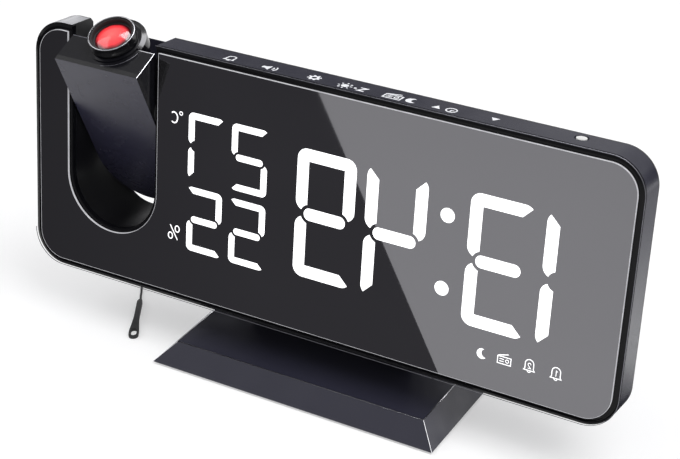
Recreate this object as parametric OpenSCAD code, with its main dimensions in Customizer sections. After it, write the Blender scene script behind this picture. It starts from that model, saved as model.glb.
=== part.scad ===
// Mirror-faced projection alarm clock on a wedge base.
// Millimetres. X runs along the face, Y from front to back, Z up. Z = 0 is the table.

/* [Case] */
// Overall width of the clock face
case_w = 190; // [170:1:210]
// Overall height of the clock face, measured along the face
case_h = 76.2; // [70:0.1:84]
// Corner radius of the case outline
case_r = 10; // [8:0.5:12]
// Depth of the straight side walls
side_d = 9.7; // [9:0.1:12]
// How far the face leans back, in degrees
lean = 8; // [4:1:12]
// Height of the centre of the face above the table
face_z = 55.8; // [54:0.1:60]
// Wall thickness of the moulded housing
wall = 1.8; // [1.5:0.1:2.4]
// Width of the housing block behind the face
hump_w = 172; // [166:1:176]
// Depth of the housing block behind the face
hump_d = 23; // [22:0.5:26]

/* [Face] */
// Width of the bevelled front frame
frame_w = 2.05; // [1.6:0.05:3]
// How far the frame's outer edge sits behind the mirror
frame_drop = 0.8; // [0.4:0.1:1.2]
// Thickness of the mirror panel
mirror_t = 1.5; // [1:0.1:2.5]
// Width of one large digit
big_w = 18.5; // [16:0.1:20]
// Height of the large digits
big_h = 38.3; // [34:0.1:40]
// Width of a segment of a large digit
big_s = 3.65; // [3:0.05:4]
// Width of one small digit
small_w = 11.8; // [10:0.1:13]
// Height of the small digits
small_h = 19.9; // [18:0.1:21]
// Width of a segment of a small digit
small_s = 2; // [1.5:0.1:2.4]

/* [Projector arm] */
// Width of the arm
arm_w = 28.4; // [26:0.1:29]
// Thickness of the arm
arm_t = 10; // [9:0.1:11]
// Height of the arm's top above the centre of the face, when shut
arm_top = 35.3; // [34:0.1:36]
// Height of the arm's round end below the centre of the face, when shut
arm_low = 20.8; // [19:0.1:21]
// Tilt of the arm in the resting pose, 0 is shut flush with the mirror
arm_tilt = 30; // [0:1:60]
// Radius of the optics tube on the back of the arm
tube_r = 9.4; // [8.5:0.1:9.6]
// Outer radius of the focus ring at its mouth
ring_r = 6.9; // [6:0.1:7.2]

/* [Base] */
// Width of the base on the table
base_w = 92.7; // [80:0.1:120]
// Depth of the base on the table
base_d = 48; // [44:1:60]
// Height of the base shell
base_h = 5.7; // [5:0.1:8]
// Horizontal run of the sloping sides of the base
base_slope = 5.5; // [4:0.1:8]
// Height of the rubber feet
foot_h = 0.6; // [0.4:0.1:1.5]

/* [Keys] */
// Travel of each key
key_travel = 0.5; // [0.3:0.1:0.8]
// Width of a key cap
key_w = 8; // [6:0.5:9]
// Depth of a key cap
key_d = 4; // [3:0.5:5]

/* [Antenna] */
// Diameter of the antenna lead
lead_d = 0.7; // [0.6:0.1:1.2]

/* [Hidden] */
$fn = 64;

// The face's frame: the centre of the mirror's front stands this far in front of the origin
face_y = -base_d / 2 + 14.65;
chamfer = 1.4;                  // rear edge of the side walls
slab_d = side_d + 1.3;          // depth of the side walls with their rear chamfer
mirror_w = case_w - 2 * frame_w;
mirror_h = case_h - 2 * frame_w;
mirror_r = case_r - frame_w;
lip = 1.6;                      // overlap of the frame behind the mirror
frame_back = 2.4;               // depth of the frame's lip
rim = 0.5;                      // wall left outside the rebate that the frame sits in
groove_w = 0.95;                // groove round the mirror, which shows its cut edge
groove_deep = 0.8;
trim_drop = 0.9;                // how far the slot's trim lies behind the mirror's face

// Slot for the arm
slot_x = -66.9;
slot_in = 29.4;                 // clear width inside the trim
slot_out = 31.7;                // width over the trim
slot_cz = -6.75;                // centre height of the slot's round end
pocket_w = 29.8;                // clear width inside the housing
pocket_r = 41.3;                // radius that the pocket's floor is swept at
pocket_wall = 1.5;
case_top = case_h / 2;

// Pivot of the arm, behind and above the centre of the face
pivot_y = 5;
pivot_z = 17.54;
pin_r = 2.5;
pin_boss_r = 3.8;
pin_reach = 3.4;                // how far each pin goes into the housing
pin_gap = 0.05;                 // running clearance in the arm's bores
arm_skin = 1.6;
arm_cz = -arm_low + arm_w / 2;
tube_y = 10.8;                  // the optics' axis, behind the arm's front
tube_low = 13.6;                // height of the tube's closed end
bore_r = 7;                     // bore that the focus ring turns in
mouth = 3.6;                    // how far the ring stands above the arm
arm_screw_xz = [[-8, 3], [8, 3], [0, -14]];     // X from the slot's middle
arm_screw_r = 1.05;
lens_r = 5.4;
lens_z = 0.6;                   // underside of the lens above the arm's top
lens_t = 1.2;                   // thickness of its rim
lens_crown = 1.3;
lens_sphere = (lens_r * lens_r + lens_crown * lens_crown) / (2 * lens_crown);

// Keys stand on the sloping top of the housing block
slope_y = slab_d;
slope_z = 35.5;
slope_back_z = 31.1;
slope_a = atan((slope_z - slope_back_z) / (hump_d - slope_y));
key_s = 6;                      // distance of the key row down the slope
key_rise = 0.9;
key_gap = 0.25;
flange_t = 0.7;
flange_low = wall + 0.1 + flange_t;     // underside of a key's flange, below the slope
stem_h = 0.2;
plunger_h = 0.25;
switch_h = 1;
press_gap = 0.05;               // left between stem and plunger when a key is down
switch_low = flange_low + stem_h + key_travel + press_gap + plunger_h + switch_h;
key_xs = [-29.5, -16.7, -2.9, 9.4, 24, 36.5, 50.6];

// Fittings on the back, which leans by back_a against the face
back_run = 1.5;
back_low_z = -18;
back_a = atan(back_run / (slope_back_z - back_low_z));
speaker_x = 30;
speaker_z = 1;
speaker_r = 14;
usb_x = -22;
jack_x = -38;
port_z = -10;
usb_w = 13.2;
usb_h = 5.8;
jack_r = 4;
cell_x = 67;
cell_z = 1;
cell_r = 10;
cell_t = 3.2;
bay_r = cell_r + 0.6;
door_w = 24;
door_h = 26;
door_t = 1.2;
door_rail = 1;                  // width of the rails on the door's sides
door_gap = 0.25;
sensor_x = 74.3;
sensor_y = 6.2;
sensor_r = 1.45;
screw_r = 1.3;
head_r = 2.4;
case_screw_xz = [[-44, 21.5], [-44, -22], [50, 21.5], [50, -22]];

// Display: x centre, z centre, lit segments in the order top, upper left, upper right,
// middle, lower left, lower right, bottom
big_digits = [
    [4.85, 0.05, [1, 1, 1, 1, 1, 0, 1]],
    [26.6, 0.05, [0, 1, 1, 1, 1, 0, 0]],
    [57.5, 0.05, [1, 1, 0, 1, 1, 0, 1]],
    [79.2, 0.05, [0, 1, 0, 0, 1, 0, 0]]];
small_digits = [
    [-34.4, 11.25, [1, 1, 0, 0, 1, 0, 0]],
    [-19.95, 11.25, [1, 1, 0, 1, 0, 1, 1]],
    [-34.4, -11.2, [1, 0, 1, 1, 1, 0, 1]],
    [-19.95, -11.2, [1, 0, 1, 1, 1, 0, 1]]];
colon_x = 41.9;
colon_z = 10.6;
colon_r = 2.1;
guide_back = 4.2;               // depth of the light guides behind the mirror's face
board_t = 1.2;
led_back = guide_back + 0.6;    // front of the board that carries the segments' lamps

// Main board behind it
board_y = 11.4;
board_x0 = -42;
board_x1 = 12;
board_low = -20;
board_high = 22;

// Base, its plate and the hollow column that carries the case
base_top = foot_h + base_h;
plate_w = base_w - 5;
plate_d = base_d - 5;
plate_z = foot_h + 0.2;
plate_t = 1.5;
neck_screw_x = 19;
neck_screw_y = 8;
edge_screw_x = 39.5;
edge_screw_y = 17.5;
edge_screw_r = 1;
neck_w = 54;
neck_wall = 2;
neck_foot = [[1.6, base_top], [15.5, base_top]];
neck_profile = concat(neck_foot, [[14.2, 11], [12.6, 20], [12, 31], [7, 33], [-3.4, 24], [-1, 15]]);
neck_hollow = [[3.4, base_top - 1], [13.6, base_top - 1], [12.3, 11.5], [10.8, 20], [10.2, 40],
    [4, 40], [-0.6, 23.4], [0.8, 15.6]];

// Antenna lead: out of its gland on the back, down to a tied coil on the table behind the
// case, and forward under the case to its moulded tip
gland_x = -47.3;
gland_z = -12;
gland_r = 1.5;
drop_route = [
    [-47.3, 12, 40.6], [-47.3, 13.6, 40.3], [-47.3, 15, 39.6], [-47.4, 16.1, 38.5],
    [-47.5, 16.8, 37], [-47.6, 17.1, 35.2], [-47.7, 17.2, 33.2], [-47.9, 17.2, 31],
    [-48.1, 17.2, 28.8], [-48.4, 17.3, 26.5], [-48.8, 17.4, 24.2], [-49.3, 17.5, 21.8],
    [-49.9, 17.7, 19.4], [-50.7, 18, 17], [-51.6, 18.4, 14.7], [-52.7, 18.9, 12.5],
    [-54, 19.5, 10.4], [-55.6, 20.2, 8.5], [-57.4, 21, 6.9], [-59.4, 21.8, 5.6],
    [-61.6, 22.5, 4.9], [-63.9, 23.1, 4.5], [-66.3, 23.4, 4.4], [-68.7, 23.6, 4.4],
    [-71, 23.6, 4.4]];
lead_route = [
    [-76.65, 13.85, 0.8], [-75.9, 12.5, 0.75], [-75.1, 11.1, 0.6], [-74.3, 9.75, 0.45],
    [-73.5, 8.5, 0.36], [-72.6, 7.1, 0.35], [-71.7, 5.7, 0.35], [-70.9, 4.3, 0.35],
    [-70, 3, 0.35], [-69.3, 1.8, 0.35]];
coil_mid = [-71.7, 17.5];
coil_low = 0.8;                 // height of the lowest turn's centreline
coil_in = 2.2;                  // radii of the innermost and outermost turns
coil_out = 6.1;
coil_step = 1.2;                // height from layer to layer
coil_layers = 4;
coil_climb = 0.5;               // part of a turn in which the lead climbs a layer
coil_turns = 13 + 1 / 3;
coil_start = 210;               // angle at which the lowest turn begins
coil_rings = 24;                // rings in each turn
layer_turns = (coil_turns - (coil_layers - 1) * coil_climb) / coil_layers;
tie_t = 0.4;
tie_w = 1.6;
tie_a = -30;
tip_at = [-69.5, 2.2];
tip_a = -61;                    // heading of the tip on the table
tip_l = 21.3;
tip_w = 1.6;
eye_w = 3;
eye_hole = 1.8;
eye_run = 1.85;                 // length of the straight part of the eye

// ---------- frames and shapes ----------

// Places children in the leaning frame of the case: origin at the centre of the mirror's face
module on_case() {
    translate([0, face_y, face_z]) rotate([-lean, 0, 0]) children();
}

// Places children in the arm's own frame, turned to the resting tilt
module on_arm() {
    on_case() translate([0, pivot_y, pivot_z]) rotate([arm_tilt, 0, 0])
        translate([0, -pivot_y, -pivot_z]) children();
}

// Extrudes an outline drawn in X and Z from depth y0 to depth y1
module plate(y0, y1) {
    translate([0, y1, 0]) rotate([90, 0, 0]) linear_extrude(y1 - y0) children();
}

// Extrudes a profile drawn in Y and Z from x0 to x1
module span(x0, x1) {
    translate([x0, 0, 0]) rotate([90, 0, 90]) linear_extrude(x1 - x0) children();
}

// A cylinder along Y from y0 to y1
module rod_y(x, z, r, y0, y1) {
    translate([x, y1, z]) rotate([90, 0, 0]) cylinder(r = r, h = y1 - y0);
}

module box(x0, x1, y0, y1, z0, z1) {
    translate([x0, y0, z0]) cube([x1 - x0, y1 - y0, z1 - z0]);
}

module round_rect(w, h, r) {
    square([w - 2 * r, h], center = true);
    square([w, h - 2 * r], center = true);
    for (sx = [-1, 1], sz = [-1, 1])
        translate([sx * (w / 2 - r), sz * (h / 2 - r)]) circle(r);
}

// A slab with rounded corners whose outline grows by inset from depth y0 to depth y1
module bevel_slab(w, h, r, y0, y1, r0, r1) {
    hull() for (sx = [-1, 1], sz = [-1, 1])
        translate([sx * (w / 2 - r), y0, sz * (h / 2 - r)]) rotate([-90, 0, 0])
            cylinder(r1 = r0, r2 = r1, h = y1 - y0, $fn = 48);
}

// Outline of the slot: straight sides, round lower end, open at the top
module slot_outline(w, cz) {
    translate([slot_x, cz]) circle(w / 2);
    translate([slot_x - w / 2, cz]) square([w, case_top + 3 - cz]);
}

// ---------- housing ----------

function back_y(z) = hump_d - back_run * (slope_back_z - z) / (slope_back_z - back_low_z);

// Profile of the housing block in Y and Z, with its walls moved in by t
function hump_profile(t) = [
    [5, slope_z - t / cos(slope_a)], [slope_y, slope_z - t / cos(slope_a)],
    [hump_d - t, slope_back_z - t * (1 - sin(slope_a)) / cos(slope_a)],
    [hump_d - back_run - t, back_low_z], [hump_d - 2.7 - t, -27 + 0.6 * t],
    [slope_y, -33.5 + t], [5, -33.5 + t]];

// The housing block behind the face, with its walls moved in by t
module hump(t) {
    half = hump_w / 2 - t;
    intersection() {
        span(-hump_w / 2, hump_w / 2) polygon(hump_profile(t));
        plate(0, hump_d + 1) translate([0, 1])
            round_rect(hump_w - 2 * t, 71 - 2 * t, 9 - t);
        translate([0, 0, -50]) linear_extrude(100)
            polygon([[-half, 0], [half, 0], [half, slab_d + 2], [half - 3, hump_d + 1],
                [-half + 3, hump_d + 1], [-half, slab_d + 2]]);
    }
}

module case_outer() {
    plate(frame_drop, side_d) round_rect(case_w, case_h, case_r);
    bevel_slab(case_w, case_h, case_r, side_d, slab_d, case_r, case_r - chamfer);
    hump(0);
}

module rebate_outline() {
    round_rect(case_w - 2 * rim, case_h - 2 * rim, case_r - rim);
}

module case_inner() {
    plate(frame_drop - 1, slab_d - wall)
        round_rect(case_w - 2 * wall, case_h - 2 * wall, case_r - wall);
    plate(frame_drop - 1, frame_back) rebate_outline();
    hump(wall);
}

// The room that the arm sweeps: a disc about the pivot below it, straight sides above
module pocket(w, r) {
    intersection() {
        translate([slot_x, pivot_y, pivot_z]) rotate([0, 90, 0]) rotate_extrude() {
            translate([0, -w / 2]) square([r - w / 2, w]);
            translate([r - w / 2, 0]) intersection() {
                circle(w / 2);
                translate([-1, -w / 2]) square([w, w]);
            }
        }
        box(slot_x - w, slot_x + w, -3, 50, -40, pivot_z);
    }
    box(slot_x - w / 2, slot_x + w / 2, -3, 50, pivot_z, case_top + 5);
}

// Joins the two sides of the slot behind the arm, along the top of the housing block
module bridge() {
    intersection() {
        hump(0);
        box(slot_x - pocket_w / 2 - 1, slot_x + pocket_w / 2 + 1,
            hump_d - 2.1, hump_d + 1, 25.5, 40);
    }
}

// Places children on the sloping top, Z square to the slope, Y down the slope to the back
module on_slope(x) {
    translate([x, slope_y, slope_z]) rotate([-slope_a, 0, 0])
        translate([0, key_s, 0]) children();
}

// Places children on the back, Z square to it and pointing out, Y down
module on_back(x, z) {
    translate([x, back_y(z), z]) rotate([-90 - back_a, 0, 0]) children();
}

module on_pivot() {
    translate([slot_x, pivot_y, pivot_z]) rotate([0, 90, 0]) children();
}

// Hexagonal field of round holes in front of the speaker
module grille_holes() {
    pitch = 2.9;
    for (i = [-5:5], j = [-5:5]) {
        gx = pitch * (i + j / 2);
        gy = pitch * j * sin(60);
        if (norm([gx, gy]) < speaker_r - 2.4)
            on_back(speaker_x, speaker_z) translate([gx, gy, -5]) cylinder(r = 0.85, h = 6);
    }
}

module door_channel() {
    open_end = door_h / 2 + 9;
    on_back(cell_x, cell_z) {
        translate([-door_w / 2 - door_gap, -door_h / 2 - door_gap, -door_t - 0.1])
            cube([door_w + 2 * door_gap, door_h / 2 + open_end, 3]);
        translate([-door_w / 2 - door_rail - door_gap, -door_h / 2 - door_gap, -door_t - 0.1])
            cube([door_w + 2 * door_rail + 2 * door_gap, door_h / 2 + open_end, 0.7]);
        translate([0, 0, -7]) cylinder(r = bay_r, h = 7);
    }
}

// Thicker wall round the cell's bay and its door
module door_bed() {
    on_back(cell_x, cell_z) {
        translate([-door_w / 2 - 3, -door_h / 2 - 2, -3]) cube([door_w + 6, door_h + 6, 3]);
        translate([0, 0, -7]) cylinder(r = bay_r + 1.6, h = 7);
    }
}

// Bosses on both sides of the pocket that hold the pivot pins
module pin_bosses() {
    intersection() {
        on_pivot() cylinder(r = pin_boss_r, h = pocket_w + 2 * pin_reach + 2, center = true);
        box(slot_x - slot_out, slot_x + slot_out, frame_back + 0.2, slab_d, 0, case_top);
    }
}

module screw_path(p, r, deep, top) {
    on_back(p[0], p[1]) translate([0, 0, -deep]) cylinder(r = r, h = deep + top);
}

module sensor_hole() {
    translate([sensor_x, sensor_y, case_top - 5]) cylinder(r = sensor_r, h = 6);
    translate([sensor_x, sensor_y, case_top - 0.7]) cylinder(r = sensor_r + 0.5, h = 2);
}

module rear_case() color("#56565f") on_case() {
    difference() {
        union() {
            difference() {
                case_outer();
                case_inner();
            }
            intersection() {
                case_outer();
                union() {
                    difference() {
                        pocket(pocket_w + 2 * pocket_wall, pocket_r + pocket_wall);
                        box(-95, -45, -5, frame_back, -45, 45);
                    }
                    for (p = case_screw_xz) screw_path(p, 3.2, 15, 0);
                    door_bed();
                    pin_bosses();
                }
            }
        }
        pocket(pocket_w, pocket_r);
        grille_holes();
        for (x = key_xs) on_slope(x) translate([0, 0, -4]) linear_extrude(6)
            round_rect(key_w + 2 * key_gap, key_d + 2 * key_gap, 1.2);
        door_channel();
        for (p = case_screw_xz) {
            screw_path(p, screw_r, 16, 1);
            screw_path(p, head_r + 0.2, 2, 1);
        }
        on_back(usb_x, port_z) translate([-usb_w / 2, -usb_h / 2, -5])
            cube([usb_w, usb_h, 6]);
        on_back(jack_x, port_z) translate([0, 0, -5]) cylinder(r = jack_r, h = 6);
        sensor_hole();
        on_pivot() cylinder(r = pin_r, h = pocket_w + 2 * pin_reach, center = true);
        on_back(gland_x, gland_z) translate([0, 0, -4]) cylinder(r = gland_r, h = 5);
    }
    bridge();
}

module case_screws() color("#9a9aa0") on_case()
    for (p = case_screw_xz) {
        screw_path(p, screw_r, 14, -1.9);
        difference() {
            screw_path(p, head_r, 1.9, -0.5);
            on_back(p[0], p[1]) translate([-0.4, -1.6, -1]) cube([0.8, 3.2, 2]);
        }
    }

// ---------- face ----------

module front_frame() color("#17171c") on_case() difference() {
    union() {
        bevel_slab(case_w, case_h, case_r, 0, frame_drop, mirror_r, case_r);
        plate(frame_drop, frame_back) rebate_outline();
    }
    plate(-1, mirror_t) round_rect(mirror_w, mirror_h, mirror_r);
    plate(-1, groove_deep)
        round_rect(mirror_w + 2 * groove_w, mirror_h + 2 * groove_w, mirror_r + groove_w);
    plate(-1, 5) round_rect(mirror_w - 2 * lip, mirror_h - 2 * lip, mirror_r - lip);
    plate(-1, 5) trim_room();
    plate(-1, 5) slot_outline(slot_in, slot_cz);
}

// The slot with its trim, up to the mirror's top edge
module trim_room() {
    intersection() {
        slot_outline(slot_out, slot_cz);
        square([case_w, mirror_h], center = true);
    }
}

// One loop of a seven-segment figure: the upper one for side = 1, the lower for side = -1
module loop(w, h, s, side) {
    low = 0.02 * h;
    tall = h / 2 - low;
    r = 0.85 * s;
    difference() {
        translate([0, side * (low + tall / 2)]) round_rect(w, tall, r);
        translate([0, side * (low + tall / 2 - s)]) square([w - 2 * s, tall], center = true);
    }
}

module figure_gap(w, h, s, side, gap) {
    for (sx = [-1, 1])
        translate([sx * w / 2, side * h / 2]) rotate(sx * side * 45)
            square([gap, 4 * s], center = true);
}

// The bar across the middle, with round ends
module pill(w, s, grow) {
    reach = w / 2 - 1.24 * s;
    square([2 * reach, s + 2 * grow], center = true);
    for (sx = [-1, 1]) translate([sx * reach, 0]) circle(s / 2 + grow);
}

// Wedge that holds one side bar of a loop
module side_wedge(w, h, k, sx, side) {
    polygon([[sx * (w / 2 + 1), side * (h / 2 + 1)], [sx * (w / 2 - k), side * (h / 2 - k)],
        [sx * (w / 2 - k), 0], [sx * (w / 2 + 1), 0]]);
}

// Wedge that holds the end bar of a loop
module end_wedge(w, h, k, side) {
    polygon([[-w / 2 - 1, side * (h / 2 + 1)], [w / 2 + 1, side * (h / 2 + 1)],
        [w / 2 - k, side * (h / 2 - k)], [-w / 2 + k, side * (h / 2 - k)]]);
}

// The lit segments of one figure
module figure(w, h, s, gap, lit) {
    k = s + 1;
    for (side = [1, -1]) {
        ends = side > 0 ? lit[0] : lit[6];
        sides = side > 0 ? [lit[1], lit[2]] : [lit[4], lit[5]];
        intersection() {
            difference() {
                loop(w, h, s, side);
                figure_gap(w, h, s, side, gap);
                pill(w, s, gap * 0.8);
            }
            union() {
                if (ends == 1) end_wedge(w, h, k, side);
                if (sides[0] == 1) side_wedge(w, h, k, -1, side);
                if (sides[1] == 1) side_wedge(w, h, k, 1, side);
            }
        }
    }
    if (lit[3] == 1) pill(w, s, 0);
}

module big_figures()
    for (d = big_digits) translate([d[0], d[1]]) figure(big_w, big_h, big_s, 1.3, d[2]);

module small_figures()
    for (d = small_digits)
        translate([d[0], d[1]]) figure(small_w, small_h, small_s, 0.9, d[2]);

module colon_figures()
    for (side = [-1, 1]) translate([colon_x, side * colon_z]) circle(colon_r);

module all_figures() {
    big_figures();
    small_figures();
    colon_figures();
}

module mirror_panel() color("#3c3c42") on_case() difference() {
    plate(0, mirror_t) round_rect(mirror_w, mirror_h, mirror_r);
    plate(-1, mirror_t + 1) slot_outline(slot_out, slot_cz);
    plate(-1, mirror_t + 1) all_figures();
}

module slot_trim() color("#2b2b31") on_case() difference() {
    plate(trim_drop, frame_back) trim_room();
    plate(-1, frame_back + 1) slot_outline(slot_in, slot_cz);
}

module time_digits() color("white") on_case() plate(0, guide_back) big_figures();
module reading_digits() color("white") on_case() plate(0, guide_back) small_figures();
module colon_dots() color("white") on_case() plate(0, guide_back) colon_figures();

// Opaque box behind the mirror that keeps each segment's light to itself
module light_box() color("#e4e4e0") on_case() difference() {
    plate(mirror_t, guide_back)
        round_rect(mirror_w - 2 * lip - 0.4, mirror_h - 2 * lip - 0.4, mirror_r - lip);
    plate(0, guide_back + 1) slot_outline(pocket_w + 2 * pocket_wall + 0.4, slot_cz - 4);
    plate(0, guide_back + 1) all_figures();
    on_pivot() cylinder(r = pin_boss_r + 0.3, h = slot_out + 10, center = true);
}

module led_board() color("#1f5a37") on_case() difference() {
    plate(led_back, led_back + board_t)
        round_rect(mirror_w - 2 * lip - 4, mirror_h - 2 * lip - 4, mirror_r - lip);
    plate(0, led_back + board_t + 1)
        slot_outline(pocket_w + 2 * pocket_wall + 2, slot_cz - 4);
    on_pivot() cylinder(r = pin_boss_r + 0.3, h = slot_out + 10, center = true);
}

// One light-emitting chip behind each lit segment
module chips(w, h, s, d) {
    seats = [[0, h / 2 - s / 2], [-w / 2 + s / 2, h / 4], [w / 2 - s / 2, h / 4], [0, 0],
        [-w / 2 + s / 2, -h / 4], [w / 2 - s / 2, -h / 4], [0, -h / 2 + s / 2]];
    for (i = [0:6]) if (d[2][i] == 1)
        translate([d[0] + seats[i][0], d[1] + seats[i][1]]) square([1.2, 1.2], center = true);
}

module segment_leds() color("#f3e9b0") on_case() plate(guide_back, led_back) {
    for (d = big_digits) chips(big_w, big_h, big_s, d);
    for (d = small_digits) chips(small_w, small_h, small_s, d);
    for (side = [-1, 1]) translate([colon_x, side * colon_z]) square([1.2, 1.2], center = true);
}

// ---------- inside the housing block ----------

module main_board() color("#1f5a37") on_case() difference() {
    box(board_x0, board_x1, board_y, board_y + board_t, board_low, board_high);
    for (p = case_screw_xz) screw_path(p, 3.6, 20, 0);
}

module clock_chip() color("#202024") on_case() {
    box(-8, 0, board_y + board_t, board_y + board_t + 1.2, 2, 10);
    box(-26, -18, board_y + board_t, board_y + board_t + 1.2, 6, 12);
    for (side = [-1, 1], i = [0:5])
        box(-7.4 + 1.3 * i, -6.9 + 1.3 * i, board_y + board_t, board_y + board_t + 0.4,
            6 + side * 4.6 - 0.6, 6 + side * 4.6 + 0.6);
}

// Loudspeaker: flange, cone basket and magnet behind the grille
module speaker() color("#37373c") on_case() on_back(speaker_x, speaker_z)
    difference() {
        union() {
            translate([0, 0, -wall - 1.5]) cylinder(r = speaker_r, h = 1.4);
            translate([0, 0, -wall - 5.4]) cylinder(r1 = 8, r2 = speaker_r - 1, h = 4);
            translate([0, 0, -wall - 8.4]) cylinder(r = 7.5, h = 3.2);
        }
        translate([0, 0, -wall - 4]) cylinder(r1 = 3, r2 = speaker_r - 2, h = 4);
    }

module usb_socket() color("#b9bcc2") on_case() on_back(usb_x, port_z) {
    difference() {
        translate([-usb_w / 2, -usb_h / 2, -9]) cube([usb_w, usb_h, 9]);
        translate([-usb_w / 2 + 0.35, -usb_h / 2 + 0.35, -8])
            cube([usb_w - 0.7, usb_h - 0.7, 9]);
    }
    translate([-5.5, 0.1, -8]) cube([11, 1.7, 7.2]);
}

module dc_jack() color("#1c1c20") on_case() on_back(jack_x, port_z) {
    difference() {
        translate([0, 0, -9]) cylinder(r = jack_r, h = 9);
        translate([0, 0, -8]) cylinder(r = 2.85, h = 9);
    }
    translate([0, 0, -8.5]) cylinder(r = 1, h = 7.7);
}

module cell_holder() color("#232327") on_case() on_back(cell_x, cell_z)
    difference() {
        translate([0, 0, -6.9]) cylinder(r = bay_r - 0.05, h = 4.9);
        translate([0, 0, -5.2]) cylinder(r = cell_r + 0.1, h = 6);
        translate([-3, -12, -4.8]) cube([6, 24, 4]);
    }

module backup_cell() color("#c9ccd0") on_case() on_back(cell_x, cell_z) {
    translate([0, 0, -5.2]) cylinder(r = cell_r, h = cell_t - 0.5);
    translate([0, 0, -5.2 + cell_t - 0.5]) cylinder(r = cell_r - 1.2, h = 0.5);
}

// Sliding door over the cell: flush plate with side rails and a ribbed thumb grip
module cell_door() color("#56565f") on_case() on_back(cell_x, cell_z)
    difference() {
        union() {
            translate([-door_w / 2, -door_h / 2, -door_t]) cube([door_w, door_h, door_t]);
            translate([-door_w / 2 - door_rail, -door_h / 2, -door_t])
                cube([door_w + 2 * door_rail, door_h, 0.5]);
        }
        for (i = [-2:2]) translate([-5, -7 + 1.4 * i, -0.4]) cube([10, 0.7, 1]);
    }

module light_sensor() color("white") on_case()
    translate([sensor_x, sensor_y, case_top - 2.6]) cylinder(r = sensor_r, h = 2.6);

// ---------- keys ----------

module key_board() color("#1f5a37") on_case() on_slope(0)
    translate([key_xs[0] - 6, -4.4, -switch_low - board_t])
        cube([key_xs[6] - key_xs[0] + 12, 8.8, board_t]);

module key_switches() color("#b9bcc2") on_case() for (x = key_xs) on_slope(x) {
    translate([-2, -2, -switch_low]) cube([4, 4, switch_h]);
    translate([0, 0, switch_h - switch_low]) cylinder(r = 0.9, h = plunger_h);
}

// A key: crowned cap through the housing, flange under it, stem over its switch
module key(i) color("#4a4a53") on_case() on_slope(key_xs[i]) {
    translate([0, 0, -flange_low]) linear_extrude(flange_low + key_rise - 0.3)
        round_rect(key_w, key_d, 1);
    translate([0, 0, key_rise - 0.3]) linear_extrude(0.3)
        round_rect(key_w - 0.6, key_d - 0.6, 0.8);
    translate([0, 0, -flange_low]) linear_extrude(flange_t)
        round_rect(key_w + 1.4, key_d + 1.4, 1.2);
    translate([0, 0, -flange_low - stem_h]) cylinder(r = 1, h = stem_h);
}

module alarm_key() key(0);
module volume_key() key(1);
module set_key() key(2);
module snooze_key() key(3);
module radio_key() key(4);
module up_key() key(5);
module down_key() key(6);

// ---------- projector arm ----------

module pivot_pins() color("#a7a9ae") on_case() on_pivot() for (side = [-1, 1])
    translate([0, 0, side > 0 ? arm_w / 2 - 2.2 : -pocket_w / 2 - pin_reach])
        cylinder(r = pin_r, h = pocket_w / 2 + pin_reach - arm_w / 2 + 2.2);

module friction_washers() color("#d8d4c4") on_case() on_pivot() for (side = [-1, 1])
    difference() {
        translate([0, 0, side * (arm_w / 2 + 0.25) - 0.2]) cylinder(r = 4.4, h = 0.4);
        translate([0, 0, side * (arm_w / 2 + 0.25) - 1]) cylinder(r = pin_r + 0.05, h = 2);
    }

module arm_outline(t) {
    translate([slot_x, arm_cz]) circle(arm_w / 2 - t);
    translate([slot_x - arm_w / 2 + t, arm_cz]) square([arm_w - 2 * t, arm_top - arm_cz - t]);
}

// Places children on the optics' axis, Z = 0 at the arm's top
module on_tube() on_arm() translate([slot_x, tube_y, arm_top]) children();

module arm_face() color("#5c5c68") on_arm() difference() {
    plate(0, arm_skin) arm_outline(0);
    for (p = arm_screw_xz) rod_y(slot_x + p[0], p[1], arm_screw_r, 0.8, 3);
}

module arm_shell() color("#26262b") {
    on_arm() difference() {
        union() {
            difference() {
                plate(arm_skin, arm_t) arm_outline(0);
                plate(arm_skin - 1, arm_t - arm_skin) arm_outline(arm_skin);
            }
            intersection() {
                plate(arm_skin, arm_t) arm_outline(0);
                on_pivot() for (side = [-1, 1])
                    translate([0, 0, side * (arm_w / 2 - 1.9) - 1.9]) cylinder(r = 4.3, h = 3.8);
            }
            for (p = arm_screw_xz) rod_y(slot_x + p[0], p[1], 2.6, arm_skin, arm_t);
            tube_outside();
        }
        on_pivot() for (side = [-1, 1])
            translate([0, 0, side * (arm_w / 2 + 0.1) - 1.35 - side * 1.35])
                cylinder(r = pin_r + pin_gap, h = 2.7);
        for (p = arm_screw_xz) {
            rod_y(slot_x + p[0], p[1], arm_screw_r, 0, arm_t + 1);
            rod_y(slot_x + p[0], p[1], 2.1, arm_t - 1.5, arm_t + 1);
        }
        translate([slot_x, tube_y, tube_low + 1.4]) cylinder(r = bore_r, h = 40);
    }
}

// The optics tube: flange at the arm's top, step, plain barrel, closed lower end
module tube_outside() translate([slot_x, tube_y, 0]) intersection() {
    union() {
        translate([0, 0, arm_top]) cylinder(r = bore_r + 1.1, h = 0.4);
        translate([0, 0, arm_top - 3.2]) cylinder(r = tube_r, h = 3.2);
        translate([0, 0, tube_low + 1]) cylinder(r = tube_r - 0.7, h = arm_top - tube_low - 4);
        translate([0, 0, tube_low]) cylinder(r1 = tube_r - 1.7, r2 = tube_r - 0.7, h = 1);
    }
    translate([-20, arm_skin - tube_y, 0]) cube([40, 40, 60]);
}

module arm_screws() color("#9a9aa0") on_arm() for (p = arm_screw_xz) {
    rod_y(slot_x + p[0], p[1], arm_screw_r, 1, arm_t - 1.4);
    difference() {
        rod_y(slot_x + p[0], p[1], 1.9, arm_t - 1.5, arm_t - 0.5);
        box(slot_x + p[0] - 0.3, slot_x + p[0] + 0.3, arm_t - 0.9, arm_t, p[1] - 1.2, p[1] + 1.2);
    }
}

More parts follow.
